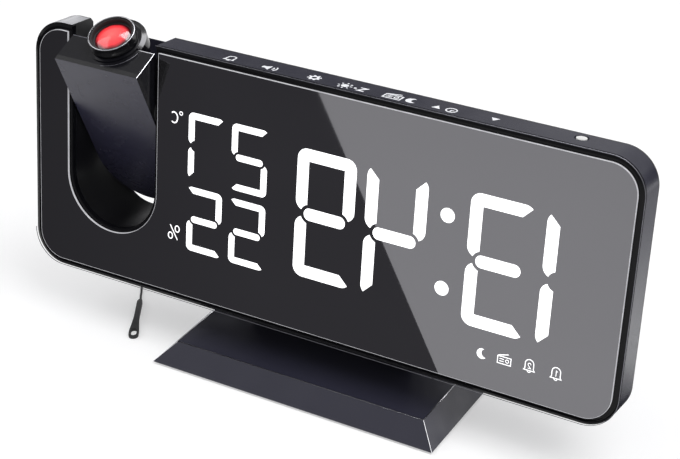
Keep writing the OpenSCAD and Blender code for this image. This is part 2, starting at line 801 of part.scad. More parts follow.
// Focus ring: skirt inside the tube, low collar, stepped mouth, seat for the lens
module focus_ring() color("#1d1d21") on_tube() rotate_extrude() polygon([
    [lens_r - 0.8, -6], [bore_r - 0.3, -6], [bore_r - 0.3, 0.7], [ring_r + 0.15, 0.7],
    [ring_r + 0.15, 1.3], [ring_r, 1.6], [ring_r, mouth - 0.3], [ring_r - 0.2, mouth],
    [ring_r - 0.45, mouth], [ring_r - 0.6, mouth - 0.35], [ring_r - 0.85, mouth - 0.35],
    [lens_r + 0.5, mouth - 0.8], [lens_r + 0.5, lens_z + lens_t + 0.2],
    [lens_r, lens_z + lens_t + 0.2], [lens_r, lens_z], [lens_r - 0.8, lens_z]]);

module lens() color("#d8323a") on_tube() {
    translate([0, 0, lens_z]) cylinder(r = lens_r, h = lens_t);
    intersection() {
        translate([0, 0, lens_z + lens_t + lens_crown - lens_sphere]) sphere(lens_sphere);
        translate([0, 0, lens_z + lens_t]) cylinder(r = lens_r, h = 3);
    }
}

module condenser() color("#cfe3ea") on_tube()
    translate([0, 0, -11.5]) cylinder(r = bore_r, h = 1.8);

module time_slide() color("#4a5a50") on_tube() translate([-4.4, -4, -14.6]) cube([8.8, 8, 1.2]);

module projector_led() color("#e9e4d2") on_tube() {
    translate([0, 0, tube_low + 1.4 - arm_top]) cylinder(r = 5, h = 1.2);
    translate([0, 0, tube_low + 2.6 - arm_top]) cylinder(r = 1.7, h = 1.2);
}

// ---------- base ----------

// Block with four sloping sides, standing on z
module sloped_block(w, d, h, run, z) {
    intersection() {
        translate([0, d, z]) rotate([90, 0, 0]) linear_extrude(2 * d)
            polygon([[-w / 2, 0], [w / 2, 0], [w / 2 - run, h], [-w / 2 + run, h]]);
        translate([-w, 0, z]) rotate([90, 0, 90]) linear_extrude(2 * w)
            polygon([[-d / 2, 0], [d / 2, 0], [d / 2 - run, h], [-d / 2 + run, h]]);
    }
}

module base_shell() color("#4b4b54") difference() {
    sloped_block(base_w, base_d, base_h, base_slope, foot_h);
    box(-plate_w / 2, plate_w / 2, -plate_d / 2, plate_d / 2, foot_h - 1, plate_z + plate_t);
    box(-base_w / 2 + 9, base_w / 2 - 9, -base_d / 2 + 9, base_d / 2 - 9,
        foot_h, base_top - 2);
    for (sx = [-1, 1]) {
        translate([sx * neck_screw_x, neck_screw_y, 0]) cylinder(r = screw_r, h = 10);
        for (sy = [-1, 1]) translate([sx * edge_screw_x, sy * edge_screw_y, 0])
            cylinder(r = edge_screw_r, h = base_top - 1.6);
    }
}

module base_plate() color("#2a2a2f") difference() {
    box(-plate_w / 2, plate_w / 2, -plate_d / 2, plate_d / 2, plate_z, plate_z + plate_t);
    for (sx = [-1, 1]) {
        translate([sx * neck_screw_x, neck_screw_y, 0]) cylinder(r = screw_r, h = 10);
        translate([sx * neck_screw_x, neck_screw_y, 0]) cylinder(r = head_r, h = plate_z + 0.8);
        for (sy = [-1, 1]) translate([sx * edge_screw_x, sy * edge_screw_y, 0]) {
            cylinder(r = edge_screw_r, h = 10);
            cylinder(r = 1.9, h = plate_z + 0.7);
        }
    }
}

module rubber_feet() color("#111113")
    for (sx = [-1, 1], sy = [-1, 1]) translate([sx * 31, sy * 16, 0])
        cylinder(r = 4, h = plate_z);

module base_screws() color("#9a9aa0") for (sx = [-1, 1]) {
    translate([sx * neck_screw_x, neck_screw_y, plate_z + 0.1]) {
        cylinder(r = screw_r, h = 11);
        cylinder(r = head_r - 0.1, h = 0.7);
    }
    for (sy = [-1, 1]) translate([sx * edge_screw_x, sy * edge_screw_y, plate_z + 0.1]) {
        cylinder(r = edge_screw_r, h = 3.2);
        cylinder(r = 1.8, h = 0.6);
    }
}

// Hollow column from the base up to the underside of the housing block
module stand_neck() color("#3f3f47") difference() {
    union() {
        difference() {
            span(-neck_w / 2, neck_w / 2) polygon(neck_profile);
            span(-neck_w / 2 + neck_wall, neck_w / 2 - neck_wall) polygon(neck_hollow);
        }
        for (sx = [-1, 1]) translate([sx * neck_screw_x, neck_screw_y, base_top])
            cylinder(r = 3.4, h = 9);
    }
    on_case() case_outer();
    for (sx = [-1, 1]) translate([sx * neck_screw_x, neck_screw_y, 0])
        cylinder(r = screw_r, h = base_top + 7);
}

// ---------- antenna ----------

// Gland in the back wall with a short tapered sleeve
module antenna_gland() color("#141416") on_case() on_back(gland_x, gland_z) difference() {
    union() {
        translate([0, 0, -wall]) cylinder(r = gland_r, h = wall);
        cylinder(r = gland_r + 0.6, h = 0.7);
        translate([0, 0, 0.7]) cylinder(r1 = 1.2, r2 = 0.7, h = 1.5);
    }
    translate([0, 0, 1.6]) cylinder(r = lead_d / 2, h = 1);
}

function unit(v) = v / norm(v);
function heading(p, i) = unit(p[min(i + 1, len(p) - 1)] - p[max(i - 1, 0)]);

// Points of one ring of a tube with n sides, square to its heading; up is never along it
function ring(p, i, n, up) =
    let (t = heading(p, i), a = unit(cross(t, up)), b = cross(t, a))
    [for (k = [0:n - 1]) p[i] + lead_d / 2 * (cos(360 * k / n) * a + sin(360 * k / n) * b)];

// A round tube along the points p
module tube(p, n, up) {
    last = len(p) - 1;
    points = [for (i = [0:last]) each ring(p, i, n, up)];
    walls = [for (i = [0:last - 1], k = [0:n - 1])
        let (a = n * i + k, b = n * i + (k + 1) % n) [a, b, b + n, a + n]];
    polyhedron(points, concat([[for (k = [n - 1:-1:0]) k]], walls,
        [[for (k = [0:n - 1]) n * last + k]]));
}

// A point of the coil after t turns: each layer spirals in or out, then climbs to the next
function coil_point(t) =
    let (k = min(floor(t / (layer_turns + coil_climb)), coil_layers - 1),
        into = t - k * (layer_turns + coil_climb),
        u = min(into / layer_turns, 1),
        v = max(0, (into - layer_turns) / coil_climb),
        r = k % 2 == 0 ? coil_out + (coil_in - coil_out) * u : coil_in + (coil_out - coil_in) * u,
        a = coil_start - 360 * t)
    [coil_mid[0] + r * cos(a), coil_mid[1] + r * sin(a),
        coil_low + coil_step * (k + (1 - cos(180 * v)) / 2)];

coil_line = [for (i = [0:coil_turns * coil_rings]) coil_point(i / coil_rings)];
coil_path = concat([coil_line[0] - lead_d * heading(coil_line, 0)], coil_line,
    [coil_line[len(coil_line) - 1] + lead_d * heading(coil_line, len(coil_line) - 1)]);

module antenna_drop() color("#141416") tube(drop_route, 8, [1, 1, 0.5]);
module antenna_lead() color("#141416") tube(lead_route, 8, [1, 1, 0.5]);

module antenna_coil() color("#141416") {
    tube(coil_path, 6, [0, 0, 1]);
    far = coil_rings / 2;
    echo(least_gap = min([for (i = [0:len(coil_line) - 1], j = [i + far:len(coil_line) - 1])
        norm(coil_line[i] - coil_line[j])]) - lead_d);
}

// Band that holds the coil's turns together
module lead_tie() color("#2a2a2e") translate(coil_mid) rotate([0, 0, tie_a]) {
    low = coil_in - lead_d / 2;
    high = coil_out + lead_d / 2;
    top = coil_low + coil_step * (coil_layers - 1) + lead_d / 2;
    translate([(low + high) / 2, 0, (top + coil_low - lead_d / 2) / 2])
        plate(-tie_w / 2, tie_w / 2) difference() {
            round_rect(high - low + 2 * tie_t, top - coil_low + lead_d / 2 + 2 * tie_t, 1);
            round_rect(high - low, top - coil_low + lead_d / 2, 0.6);
        }
}

// Moulded tip, flat on the table: narrow neck, grip that flares to a long eye
module antenna_tip() color("#141416") translate([tip_at[0], tip_at[1], 0])
    rotate([0, 0, tip_a]) {
        eye_x = tip_l - eye_w / 2;
        intersection() {
            linear_extrude(2) difference() {
                union() {
                    polygon([[0, -0.45], [1.6, -tip_w / 2], [11, -tip_w / 2],
                        [eye_x - eye_run, -eye_w / 2], [eye_x, -eye_w / 2], [eye_x, eye_w / 2],
                        [eye_x - eye_run, eye_w / 2], [11, tip_w / 2], [1.6, tip_w / 2],
                        [0, 0.45]]);
                    translate([eye_x, 0]) circle(eye_w / 2);
                }
                for (x = [eye_x - eye_run, eye_x]) translate([x - 0.1, 0]) circle(eye_hole / 2);
                translate([eye_x - eye_run - 0.1, -eye_hole / 2]) square([eye_run, eye_hole]);
            }
            translate([0, 5, 0]) rotate([90, 0, 0]) linear_extrude(10)
                polygon([[0, 0.02], [tip_l, 0.02], [tip_l, 0.8], [tip_l - 0.3, 0.95],
                    [15, 1], [11, 1.4], [2.2, 1.4], [0.6, 0.95], [0, 0.8]]);
        }
    }

base_shell();
base_plate();
rubber_feet();
base_screws();
stand_neck();
rear_case();
case_screws();
front_frame();
mirror_panel();
slot_trim();
time_digits();
reading_digits();
colon_dots();
light_box();
led_board();
segment_leds();
main_board();
clock_chip();
speaker();
usb_socket();
dc_jack();
cell_holder();
backup_cell();
cell_door();
light_sensor();
key_board();
key_switches();
alarm_key();
volume_key();
set_key();
snooze_key();
radio_key();
up_key();
down_key();
pivot_pins();
friction_washers();
arm_face();
arm_shell();
arm_screws();
focus_ring();
lens();
condenser();
time_slide();
projector_led();
antenna_gland();
antenna_drop();
antenna_coil();
lead_tie();
antenna_lead();
antenna_tip();
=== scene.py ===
"""Looks of the mirror-faced projection alarm clock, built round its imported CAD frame.

Metres, X along the face, Y from front to back, Z up, the table at Z = 0.
"""

import math

import bmesh
import bpy
from mathutils import Matrix, Vector


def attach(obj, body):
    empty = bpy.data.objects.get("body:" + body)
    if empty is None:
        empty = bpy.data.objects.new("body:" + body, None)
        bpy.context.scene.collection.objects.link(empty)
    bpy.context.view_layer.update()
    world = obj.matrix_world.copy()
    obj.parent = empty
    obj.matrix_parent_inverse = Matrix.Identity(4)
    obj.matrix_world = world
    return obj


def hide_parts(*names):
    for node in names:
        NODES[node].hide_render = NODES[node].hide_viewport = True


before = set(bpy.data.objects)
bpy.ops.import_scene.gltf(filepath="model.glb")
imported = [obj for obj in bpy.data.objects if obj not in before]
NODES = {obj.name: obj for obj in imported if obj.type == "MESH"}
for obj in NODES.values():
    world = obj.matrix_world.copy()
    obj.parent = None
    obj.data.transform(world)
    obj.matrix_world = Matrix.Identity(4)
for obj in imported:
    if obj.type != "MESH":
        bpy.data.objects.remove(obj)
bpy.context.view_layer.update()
MM = 0.001

# ---------------------------------------------------------------- the case's own frame
FACE_Y, FACE_Z = -9.35, 55.8  # centre of the mirror's front, mm
LEAN = math.radians(8)
CASE_TOP = 38.1
SLOT_X, SLOT_IN, SLOT_OUT, SLOT_CZ = -66.9, 29.4, 31.7, -6.75
MIRROR_W, MIRROR_H, MIRROR_R = 185.9, 72.1, 7.95
PIVOT_Y, PIVOT_Z, ARM_TILT = 5.0, 17.54, math.radians(30)
ARM_W, ARM_T, ARM_TOP, ARM_LOW = 28.4, 10.0, 35.3, 20.8
TUBE_Y = 10.8
CASE_W, CASE_R = 190.0, 10.0
BASE_W, BASE_D, BASE_SLOPE, BASE_FOOT, BASE_TOP = 92.7, 48.0, 5.5, 0.6, 6.3
# Where the case is painted black: painted shade down to this height in the pocket, and a painted dark
# reflection in a band of this width at the rear edge
POCKET_LOW, WALL_END, WALL_BAND = -25.0, 9.7, 0.5
POCKET_SPARE = 0.25  # how far past the slot's half width the pocket's walls are still taken
BORE_SIGHT = 6.4  # radius inside which the focus ring is blackened
LENS_SIGHT = 5.4  # radius at which the lens's red has faded out
LINE_IN = 0.08  # how far the bright line lies inside the arm's rear edge
TUBE_CLEAR_RIGHT, TUBE_CLEAR_LEFT = 8.9, 9.2  # where that line stops beside the optics tube
SHARP_ANGLE = 28  # degrees between faces from which an edge is sharp
WELD = 2e-6  # metres within which vertices of a CAD node are joined

CASE = (
    Matrix.Translation((0, FACE_Y * MM, FACE_Z * MM))
    @ Matrix.Rotation(-LEAN, 4, "X")
    @ Matrix.Scale(MM, 4)
)
ARM = (
    CASE
    @ Matrix.Translation((0, PIVOT_Y, PIVOT_Z))
    @ Matrix.Rotation(ARM_TILT, 4, "X")
    @ Matrix.Translation((0, -PIVOT_Y, -PIVOT_Z))
)
TABLE = Matrix.Scale(MM, 4)

PIANO_BLACK = (0.004, 0.004, 0.005)
ACRYLIC_IOR = 1.49


# ---------------------------------------------------------------- camera
PICTURE_W, PICTURE_H = 680, 459
FOCAL = 1817.0  # focal length in pixels of that picture
CAMERA_AT = (0.22673, -0.38072, 0.30458)
CAMERA_TURN = (30.286, 30.241, -0.932)  # yaw, pitch and roll in degrees


def make_camera():
    """The photograph's view: place, aim and lens found from the clock's own straight lines."""
    yaw, pitch, roll = (math.radians(a) for a in CAMERA_TURN)
    d = Vector((-math.sin(yaw) * math.cos(pitch), math.cos(yaw) * math.cos(pitch), -math.sin(pitch)))
    right = Vector((math.cos(yaw), math.sin(yaw), 0))
    up = right.cross(d)
    x = math.cos(roll) * right + math.sin(roll) * up
    y = -math.sin(roll) * right + math.cos(roll) * up
    data = bpy.data.cameras.new("camera")
    data.sensor_width = 36
    data.lens = data.sensor_width * FOCAL / PICTURE_W
    data.clip_start, data.clip_end = 0.01, 20
    ob = bpy.data.objects.new("camera", data)
    bpy.context.scene.collection.objects.link(ob)
    ob.matrix_world = Matrix.Translation(CAMERA_AT) @ Matrix((x, y, -d)).transposed().to_4x4()
    bpy.context.scene.camera = ob


make_camera()


# ---------------------------------------------------------------- materials
class Nodes:
    """Short ways to add and join the nodes of one material."""

    def __init__(self, name):
        self.mat = bpy.data.materials.new(name)
        self.mat.use_nodes = True
        self.tree = self.mat.node_tree
        self.bsdf = self.tree.nodes["Principled BSDF"]
        self.out = self.tree.nodes["Material Output"]
        self.coord = self.tree.nodes.new("ShaderNodeTexCoord")

    def add(self, kind, **values):
        node = self.tree.nodes.new(kind)
        for k, v in values.items():
            setattr(node, k, v)
        return node

    def link(self, a, b):
        self.tree.links.new(a, b)

    def noise(self, scale, detail=3.0, stretch=None, rough=0.5):
        node = self.add("ShaderNodeTexNoise")
        node.inputs["Scale"].default_value = scale
        node.inputs["Detail"].default_value = detail
        node.inputs["Roughness"].default_value = rough
        source = self.coord.outputs["Object"]
        if stretch:
            mapping = self.add("ShaderNodeMapping")
            mapping.inputs["Scale"].default_value = stretch
            self.link(source, mapping.inputs["Vector"])
            source = mapping.outputs["Vector"]
        self.link(source, node.inputs["Vector"])
        return node.outputs["Fac"]

    def ramp(self, value, stops):
        node = self.add("ShaderNodeValToRGB")
        spots = node.color_ramp.elements
        while len(spots) < len(stops):
            spots.new(0.5)
        for spot, (at, colour) in zip(spots, stops):
            spot.position = at
            spot.color = (*colour, 1)
        self.link(value, node.inputs["Fac"])
        return node.outputs["Color"]

    def span(self, value, low, high, to_low, to_high):
        node = self.add("ShaderNodeMapRange")
        for k, v in (("From Min", low), ("From Max", high), ("To Min", to_low), ("To Max", to_high)):
            node.inputs[k].default_value = v
        self.link(value, node.inputs["Value"])
        return node.outputs["Result"]

    def calc(self, operation, a, b=None):
        node = self.add("ShaderNodeMath", operation=operation)
        for socket, value in zip(node.inputs, (a, b)):
            if isinstance(value, (int, float)):
                socket.default_value = value
            elif value is not None:
                self.link(value, socket)
        return node.outputs[0]

    def along(self, matrix, column):
        """How far a surface point lies along one axis of a local frame, in its millimetres."""
        axis = matrix.col[column].to_3d().normalized() / MM
        return self.calc("SUBTRACT", self.dot(axis), matrix.translation.dot(axis))

    def dot(self, way):
        """How far a surface point lies along a direction."""
        node = self.add("ShaderNodeVectorMath", operation="DOT_PRODUCT")
        self.link(self.coord.outputs["Object"], node.inputs[0])
        node.inputs[1].default_value = way
        return node.outputs["Value"]

    def mix(self, share, a, b):
        """Colour a where share is 0, and the fixed colour b where it is 1."""
        node = self.add("ShaderNodeMix", data_type="RGBA")
        self.link(share, node.inputs[0])
        self.link(a, node.inputs[6])
        node.inputs[7].default_value = (*b, 1)
        return node.outputs[2]

    def bump(self, height, strength, distance, edge=0.0):
        node = self.add("ShaderNodeBump")
        node.inputs["Strength"].default_value = strength
        node.inputs["Distance"].default_value = distance
        self.link(height, node.inputs["Height"])
        if edge:
            bevel = self.add("ShaderNodeBevel", samples=6)
            bevel.inputs["Radius"].default_value = edge
            self.link(bevel.outputs["Normal"], node.inputs["Normal"])
        self.link(node.outputs["Normal"], self.bsdf.inputs["Normal"])

    def set(self, **values):
        names = {
            "rough": "Roughness",
            "metal": "Metallic",
            "coat": "Coat Weight",
            "coat_rough": "Coat Roughness",
            "ior": "IOR",
            "level": "Specular IOR Level",
            "through": "Transmission Weight",
            "glow": "Emission Strength",
        }
        for k, v in values.items():
            self.bsdf.inputs[names[k]].default_value = v
        return self


def shade(colour, share):
    return tuple(min(1.0, c * share) for c in colour)


def moulded(name, colour, rough=0.35, grain=0.12, edge=0.0, grain_scale=5200, vary=0.1, black=None, **more):
    """Moulded plastic: soft variation of colour and gloss, fine spark grain, rounded edges.

    black is a function that gives the share of a second black at each point, with its roughness: painted
    shade in the case's pocket and on the arm plate's sides, a painted dark reflection in a band at the case's
    rear edge, and the real matt black inside the lens's bore.
    """
    n = Nodes(name)
    tint = n.ramp(n.noise(38, 4), [(0.3, shade(colour, 1 - vary)), (0.7, shade(colour, 1 + vary))])
    gloss = n.span(n.noise(160, 3), 0.3, 0.7, rough * 0.88, rough * 1.12)
    if black:
        share, black_rough = black(n)
        tint = n.mix(share, tint, PIANO_BLACK)
        gloss = n.calc("ADD", gloss, n.span(share, 0, 1, 0, black_rough - rough))
    n.link(tint, n.bsdf.inputs["Base Color"])
    n.link(gloss, n.bsdf.inputs["Roughness"])
    n.bump(n.noise(grain_scale, 2), grain, 0.00003, edge)
    n.set(**more)
    return n.mat


def metal(name, colour, rough=0.28, stretch=(1, 1, 18), edge=0.0001):
    """Plated or turned metal with a drawn grain."""
    n = Nodes(name)
    streak = n.noise(900, 3, stretch)
    n.link(
        n.ramp(streak, [(0.25, shade(colour, 0.8)), (0.75, shade(colour, 1.12))]),
        n.bsdf.inputs["Base Color"],
    )
    n.link(n.span(streak, 0.2, 0.8, rough * 0.8, rough * 1.25), n.bsdf.inputs["Roughness"])
    n.bump(streak, 0.1, 0.00002, edge)
    n.set(metal=1.0)
    return n.mat


def lit(name, colour, strength, edge_tint):
    """A pale surface that gives off light, a touch dimmer in places."""
    n = Nodes(name)
    tint = n.ramp(n.noise(260, 2), [(0.2, edge_tint), (0.6, colour)])
    n.link(tint, n.bsdf.inputs["Base Color"])
    n.link(tint, n.bsdf.inputs["Emission Color"])
    n.link(n.span(n.noise(700, 2), 0.3, 0.7, 0.3, 0.42), n.bsdf.inputs["Roughness"])
    n.set(glow=strength)
    return n.mat


def mirror_glass(name, colour):
    """Half-silvered acrylic: a dark metal film with the faintest waviness."""
    n = Nodes(name)
    n.link(
        n.ramp(n.noise(14, 2), [(0.3, shade(colour, 0.985)), (0.7, shade(colour, 1.015))]),
        n.bsdf.inputs["Base Color"],
    )
    n.link(n.span(n.noise(60, 3), 0.3, 0.7, 0.015, 0.03), n.bsdf.inputs["Roughness"])
    n.bump(n.noise(30, 2), 0.004, 0.0001)
    n.set(metal=1.0)
    return n.mat


def glass(name, colour, rough, through):
    """Clear or frosted plastic that lets a share of the light through."""
    n = Nodes(name)
    n.link(
        n.ramp(n.noise(300, 2), [(0.3, shade(colour, 0.93)), (0.7, colour)]),
        n.bsdf.inputs["Base Color"],
    )
    n.link(n.span(n.noise(500, 2), 0.3, 0.7, rough * 0.8, rough * 1.2), n.bsdf.inputs["Roughness"])
    n.set(through=through, ior=ACRYLIC_IOR)
    return n.mat


def lens_red():
    """Red projection lens, brightest where the lamp behind it shows through."""
    n = Nodes("lens_red")
    centre = ARM @ Vector((SLOT_X, TUBE_Y, ARM_TOP + 1.2))
    away = n.add("ShaderNodeVectorMath", operation="DISTANCE")
    n.link(n.coord.outputs["Object"], away.inputs[0])
    away.inputs[1].default_value = centre + Vector((-0.0003, 0.0002, 0))
    out = n.span(away.outputs["Value"], 0.0, LENS_SIGHT * MM, 0.0, 1.0)
    cloudy = n.calc("ADD", out, n.span(n.noise(520, 2), 0.3, 0.7, -0.02, 0.02))
    glowing, middle = (1.0, 0.24, 0.19), (0.9, 0.08, 0.08)
    outer, rim = (0.7, 0.03, 0.04), (0.05, 0.004, 0.006)
    tint = n.ramp(cloudy, [(0.0, glowing), (0.4, middle), (0.78, outer), (0.94, rim)])
    n.link(tint, n.bsdf.inputs["Base Color"])
    n.link(tint, n.bsdf.inputs["Emission Color"])
    n.link(n.span(n.noise(300, 2), 0.3, 0.7, 0.1, 0.16), n.bsdf.inputs["Roughness"])
    n.set(glow=0.45, coat=0.2, coat_rough=0.12)
    return n.mat


def painted_pocket_shade_and_rear_reflection(n):
    """Painted shade and a painted reflection: the walls of the through pocket that the arm swings in are
    painted black as shade, and a band at the side walls' rear edge is painted black as the dark reflection it
    shows.
    """
    # the pocket's walls: painted shade
    beside = n.calc("ABSOLUTE", n.calc("SUBTRACT", n.along(CASE, 0), SLOT_X))
    inside = n.calc("LESS_THAN", beside, SLOT_IN / 2 + POCKET_SPARE)
    ahead = n.calc("LESS_THAN", n.along(CASE, 1), ARM_LOW)
    above = n.calc("GREATER_THAN", n.along(CASE, 2), POCKET_LOW)
    pocket = n.calc("MULTIPLY", n.calc("MULTIPLY", inside, ahead), above)
    # the band at the rear edge: painted dark reflection
    from_band = n.calc("ABSOLUTE", n.calc("SUBTRACT", n.along(CASE, 1), WALL_END - WALL_BAND / 2))
    return n.calc("MAXIMUM", pocket, n.calc("LESS_THAN", from_band, WALL_BAND / 2)), 0.4


def painted_shade_off_front(n):
    """Painted shade: everything of the arm's front plate but its front is painted black."""
    return n.calc("GREATER_THAN", n.along(ARM, 1), 0.03), 0.2


def in_bore(n):
    """The ring's inside, blackened against stray light."""
    across = n.calc("SUBTRACT", n.along(ARM, 0), SLOT_X)
    back = n.calc("SUBTRACT", n.along(ARM, 1), TUBE_Y)
    away = n.calc("ADD", n.calc("MULTIPLY", across, across), n.calc("MULTIPLY", back, back))
    return n.calc("LESS_THAN", away, BORE_SIGHT**2), 0.7


CASE_BLUE = (0.027, 0.027, 0.041)
MATERIALS = {
    "case_plastic": moulded("case_satin", CASE_BLUE, rough=0.24, grain=0.08, vary=0.05, level=0.55),
    "frame_plastic": moulded("frame_gloss", PIANO_BLACK, rough=0.14, grain=0.03, level=0.15),
    "key_plastic": moulded("key_satin", (0.035, 0.035, 0.048), rough=0.34, edge=0.0002),
    "base_plastic": moulded(
        "base_satin", (0.024, 0.024, 0.038), rough=0.24, grain=0.08, vary=0.05, level=0.5
    ),
    "base_plate": moulded("plate_matt", (0.02, 0.02, 0.023), rough=0.6, grain=0.4),
    "mirror": mirror_glass("mirror_film", (0.178, 0.176, 0.186)),
    "digit": lit("digit_light", (1, 1, 1), 1.0, (0.97, 0.98, 1)),
    "light_box": moulded("box_white", (0.8, 0.8, 0.77), rough=0.5),
    "board": moulded("solder_mask", (0.015, 0.13, 0.05), rough=0.3, grain=0.3, grain_scale=2600, vary=0.25),
    "chip": moulded("chip_black", (0.02, 0.02, 0.022), rough=0.5, grain=0.3),
    "led": moulded("phosphor", (0.8, 0.72, 0.35), rough=0.25),
    "screw": metal("zinc", (0.55, 0.55, 0.58), 0.33),
    "steel": metal("turned_steel", (0.6, 0.6, 0.62), 0.25, (18, 1, 1)),
    "contact_metal": metal("nickel", (0.62, 0.63, 0.65), 0.2),
    "black_plastic": moulded("black_matt", (0.014, 0.014, 0.016), rough=0.45, grain=0.25, edge=0.00015),
    "washer": moulded("black_nylon", (0.02, 0.02, 0.021), rough=0.5),
    "rubber": moulded("soft_black", (0.012, 0.012, 0.013), rough=0.55, grain=0.3),
    "sensor": glass("frosted_window", (0.9, 0.9, 0.88), 0.35, 0.15),
    "lens": lens_red(),
    "condenser": glass("condenser_glass", (0.85, 0.93, 0.95), 0.03, 0.9),
    "slide": glass("crystal_cell", (0.2, 0.26, 0.22), 0.1, 0.5),
}
SLOT_OF = {
    "case_plastic": "rear_case cell_door arm_face",
    "frame_plastic": "front_frame slot_trim arm_shell",
    "key_plastic": "alarm_key volume_key set_key snooze_key radio_key up_key down_key",
    "base_plastic": "base_shell stand_neck",
    "base_plate": "base_plate",
    "mirror": "mirror_panel",
    "digit": "time_digits reading_digits colon_dots",
    "light_box": "light_box",
    "board": "led_board main_board key_board",
    "chip": "clock_chip",
    "led": "segment_leds projector_led",
    "screw": "base_screws case_screws arm_screws",
    "steel": "pivot_pins",
    "contact_metal": "usb_socket key_switches backup_cell",
    "black_plastic": "dc_jack cell_holder focus_ring speaker",
    "washer": "friction_washers",
    "rubber": "rubber_feet antenna_gland antenna_drop antenna_coil lead_tie antenna_lead antenna_tip",
    "sensor": "light_sensor",
    "lens": "lens",
    "condenser": "condenser",
    "slide": "time_slide",
}
# Nodes whose surface differs from their slot's usual one
SPECIAL = {
    # The case's pocket walls are painted black as shade, and its rear band is painted black as a dark
    # reflection.
    "rear_case": moulded(
        "case_and_pocket", CASE_BLUE, rough=0.24, grain=0.08, vary=0.05, level=0.55, black=painted_pocket_shade_and_rear_reflection
    ),
    # The arm plate is painted black but on its front: painted shade.
    "arm_face": moulded("arm_satin", (0.03, 0.029, 0.052), rough=0.26, grain=0.08, black=painted_shade_off_front),
    "arm_shell": moulded("arm_black", (0.006, 0.006, 0.008), rough=0.14, grain=0.03, vary=0.05, level=0.25),
    "focus_ring": moulded("ring_black", (0.006, 0.006, 0.007), rough=0.13, grain=0.03, black=in_bore),
    "slot_trim": moulded("trim_black", PIANO_BLACK, rough=0.2, grain=0.04, level=0.15),
}


def dress_nodes():
    """Gives every CAD node its material and smooth shading between faces that nearly line up."""
    for slot, names in SLOT_OF.items():
        for name in names.split():
            ob = NODES[name]
            ob.data.materials.clear()
            ob.data.materials.append(SPECIAL.get(name, MATERIALS[slot]))
            for p in ob.data.polygons:
                p.material_index = 0
                p.use_smooth = True
            if "custom_normal" in ob.data.attributes:
                ob.data.attributes.remove(ob.data.attributes["custom_normal"])
            weld = ob.modifiers.new("weld", "WELD")
            weld.merge_threshold = WELD
            split = ob.modifiers.new("edges", "EDGE_SPLIT")
            split.split_angle = math.radians(SHARP_ANGLE)


dress_nodes()


# ---------------------------------------------------------------- building helpers
def piece(name, mesh_maker, matrix, material, body, smooth=None):
    """A new piece: mesh_maker fills a bmesh in the matrix's own millimetres."""
    bm = bmesh.new()
    mesh_maker(bm)
    bmesh.ops.recalc_face_normals(bm, faces=bm.faces)
    bm.transform(matrix)
    mesh = bpy.data.meshes.new(name)
    bm.to_mesh(mesh)
    bm.free()
    mesh.materials.append(material)
    if smooth:
        for p in mesh.polygons:
            p.use_smooth = True
        mesh.set_sharp_from_angle(angle=math.radians(smooth))
    ob = bpy.data.objects.new(name, mesh)
    bpy.context.scene.collection.objects.link(ob)
    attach(ob, body)


def oval(cx, cz, r_x, r_z, degrees):
    """Points of an oval at the given angles."""
    turns = [math.radians(a) for a in degrees]
    return [(cx + r_x * math.cos(a), cz + r_z * math.sin(a)) for a in turns]


def arc(cx, cz, r, a0, a1, n):
    """Points of a round arc from angle a0 to a1 in n steps."""
    return oval(cx, cz, r, r, [a0 + (a1 - a0) * i / n for i in range(n + 1)])


def on_face(u, v, h):
    """A point of a drawing on the mirror: u along X, v up, h out of the face."""
    return (u, -h, v)


def on_top(u, v, h):
    """A point of a drawing on the case's top: u along X, v towards the back, h up."""
    return (u, v, CASE_TOP + h)


def on_arm(u, v, h):
    """A point of a drawing on the arm's top: u along X, v towards the back, h up."""
    return (u, v, ARM_TOP + h)


def on_base(u, v, h):
    """A point of a drawing on the base's flat top."""
    return (u, v, BASE_TOP + h)


def offsets(points, closed):
    """Unit mitre vectors to the left of a line at each of its points."""
    n = len(points)
    found = []
    for i in range(n):
        a = points[(i - 1) % n] if closed or i else points[i]
        b = points[(i + 1) % n] if closed or i < n - 1 else points[i]
        before = Vector(points[i]) - Vector(a)
        after = Vector(b) - Vector(points[i])
        if before.length < 1e-9:
            before = after
        if after.length < 1e-9:
            after = before
        p, q = before.normalized(), after.normalized()
        left_p, left_q = Vector((-p.y, p.x)), Vector((-q.y, q.x))
        m = left_p + left_q
        m = m.normalized() if m.length > 1e-6 else left_p
        found.append(m / max(0.35, m.dot(left_p)))
    return found


def stroke(bm, points, width, place, high=0.05, closed=False, crown=0.3):
    """A drawn line as a low raised bar with slanting sides."""
    left = offsets(points, closed)
    rows = []
    for p, m in zip(points, left):
        p = Vector(p)
        profile = [(0.5, 0.0), (0.5 - crown / 2, high), (-0.5 + crown / 2, high), (-0.5, 0.0)]
        rows.append([bm.verts.new(place(*(p + m * width * s), h)) for s, h in profile])
    n = len(rows)
    for i in range(n if closed else n - 1):
        a, b = rows[i], rows[(i + 1) % n]
        for k in range(3):
            bm.faces.new((a[k], a[k + 1], b[k + 1], b[k]))
    if not closed:
        for row in (rows[0], rows[-1]):
            bm.faces.new(row)


def patch(bm, points, place, high=0.05, shrink=0.04):
    """A filled outline as a low raised patch."""
    left = offsets(points, True)
    foot = [bm.verts.new(place(*p, 0.0)) for p in points]
    turn = sum(a[0] * b[1] - b[0] * a[1] for a, b in zip(points, points[1:] + points[:1]))
    inward = 1 if turn > 0 else -1
    top = [bm.verts.new(place(*(Vector(p) + m * shrink * inward), high)) for p, m in zip(points, left)]
    n = len(points)
    for i in range(n):
        bm.faces.new((foot[i], foot[(i + 1) % n], top[(i + 1) % n], top[i]))
    bm.faces.new(top)


def disc(bm, cx, cz, r, place, high=0.05, n=20):
    """A filled round dot."""
    patch(bm, arc(cx, cz, r, 0, 360, n)[:-1], place, high)


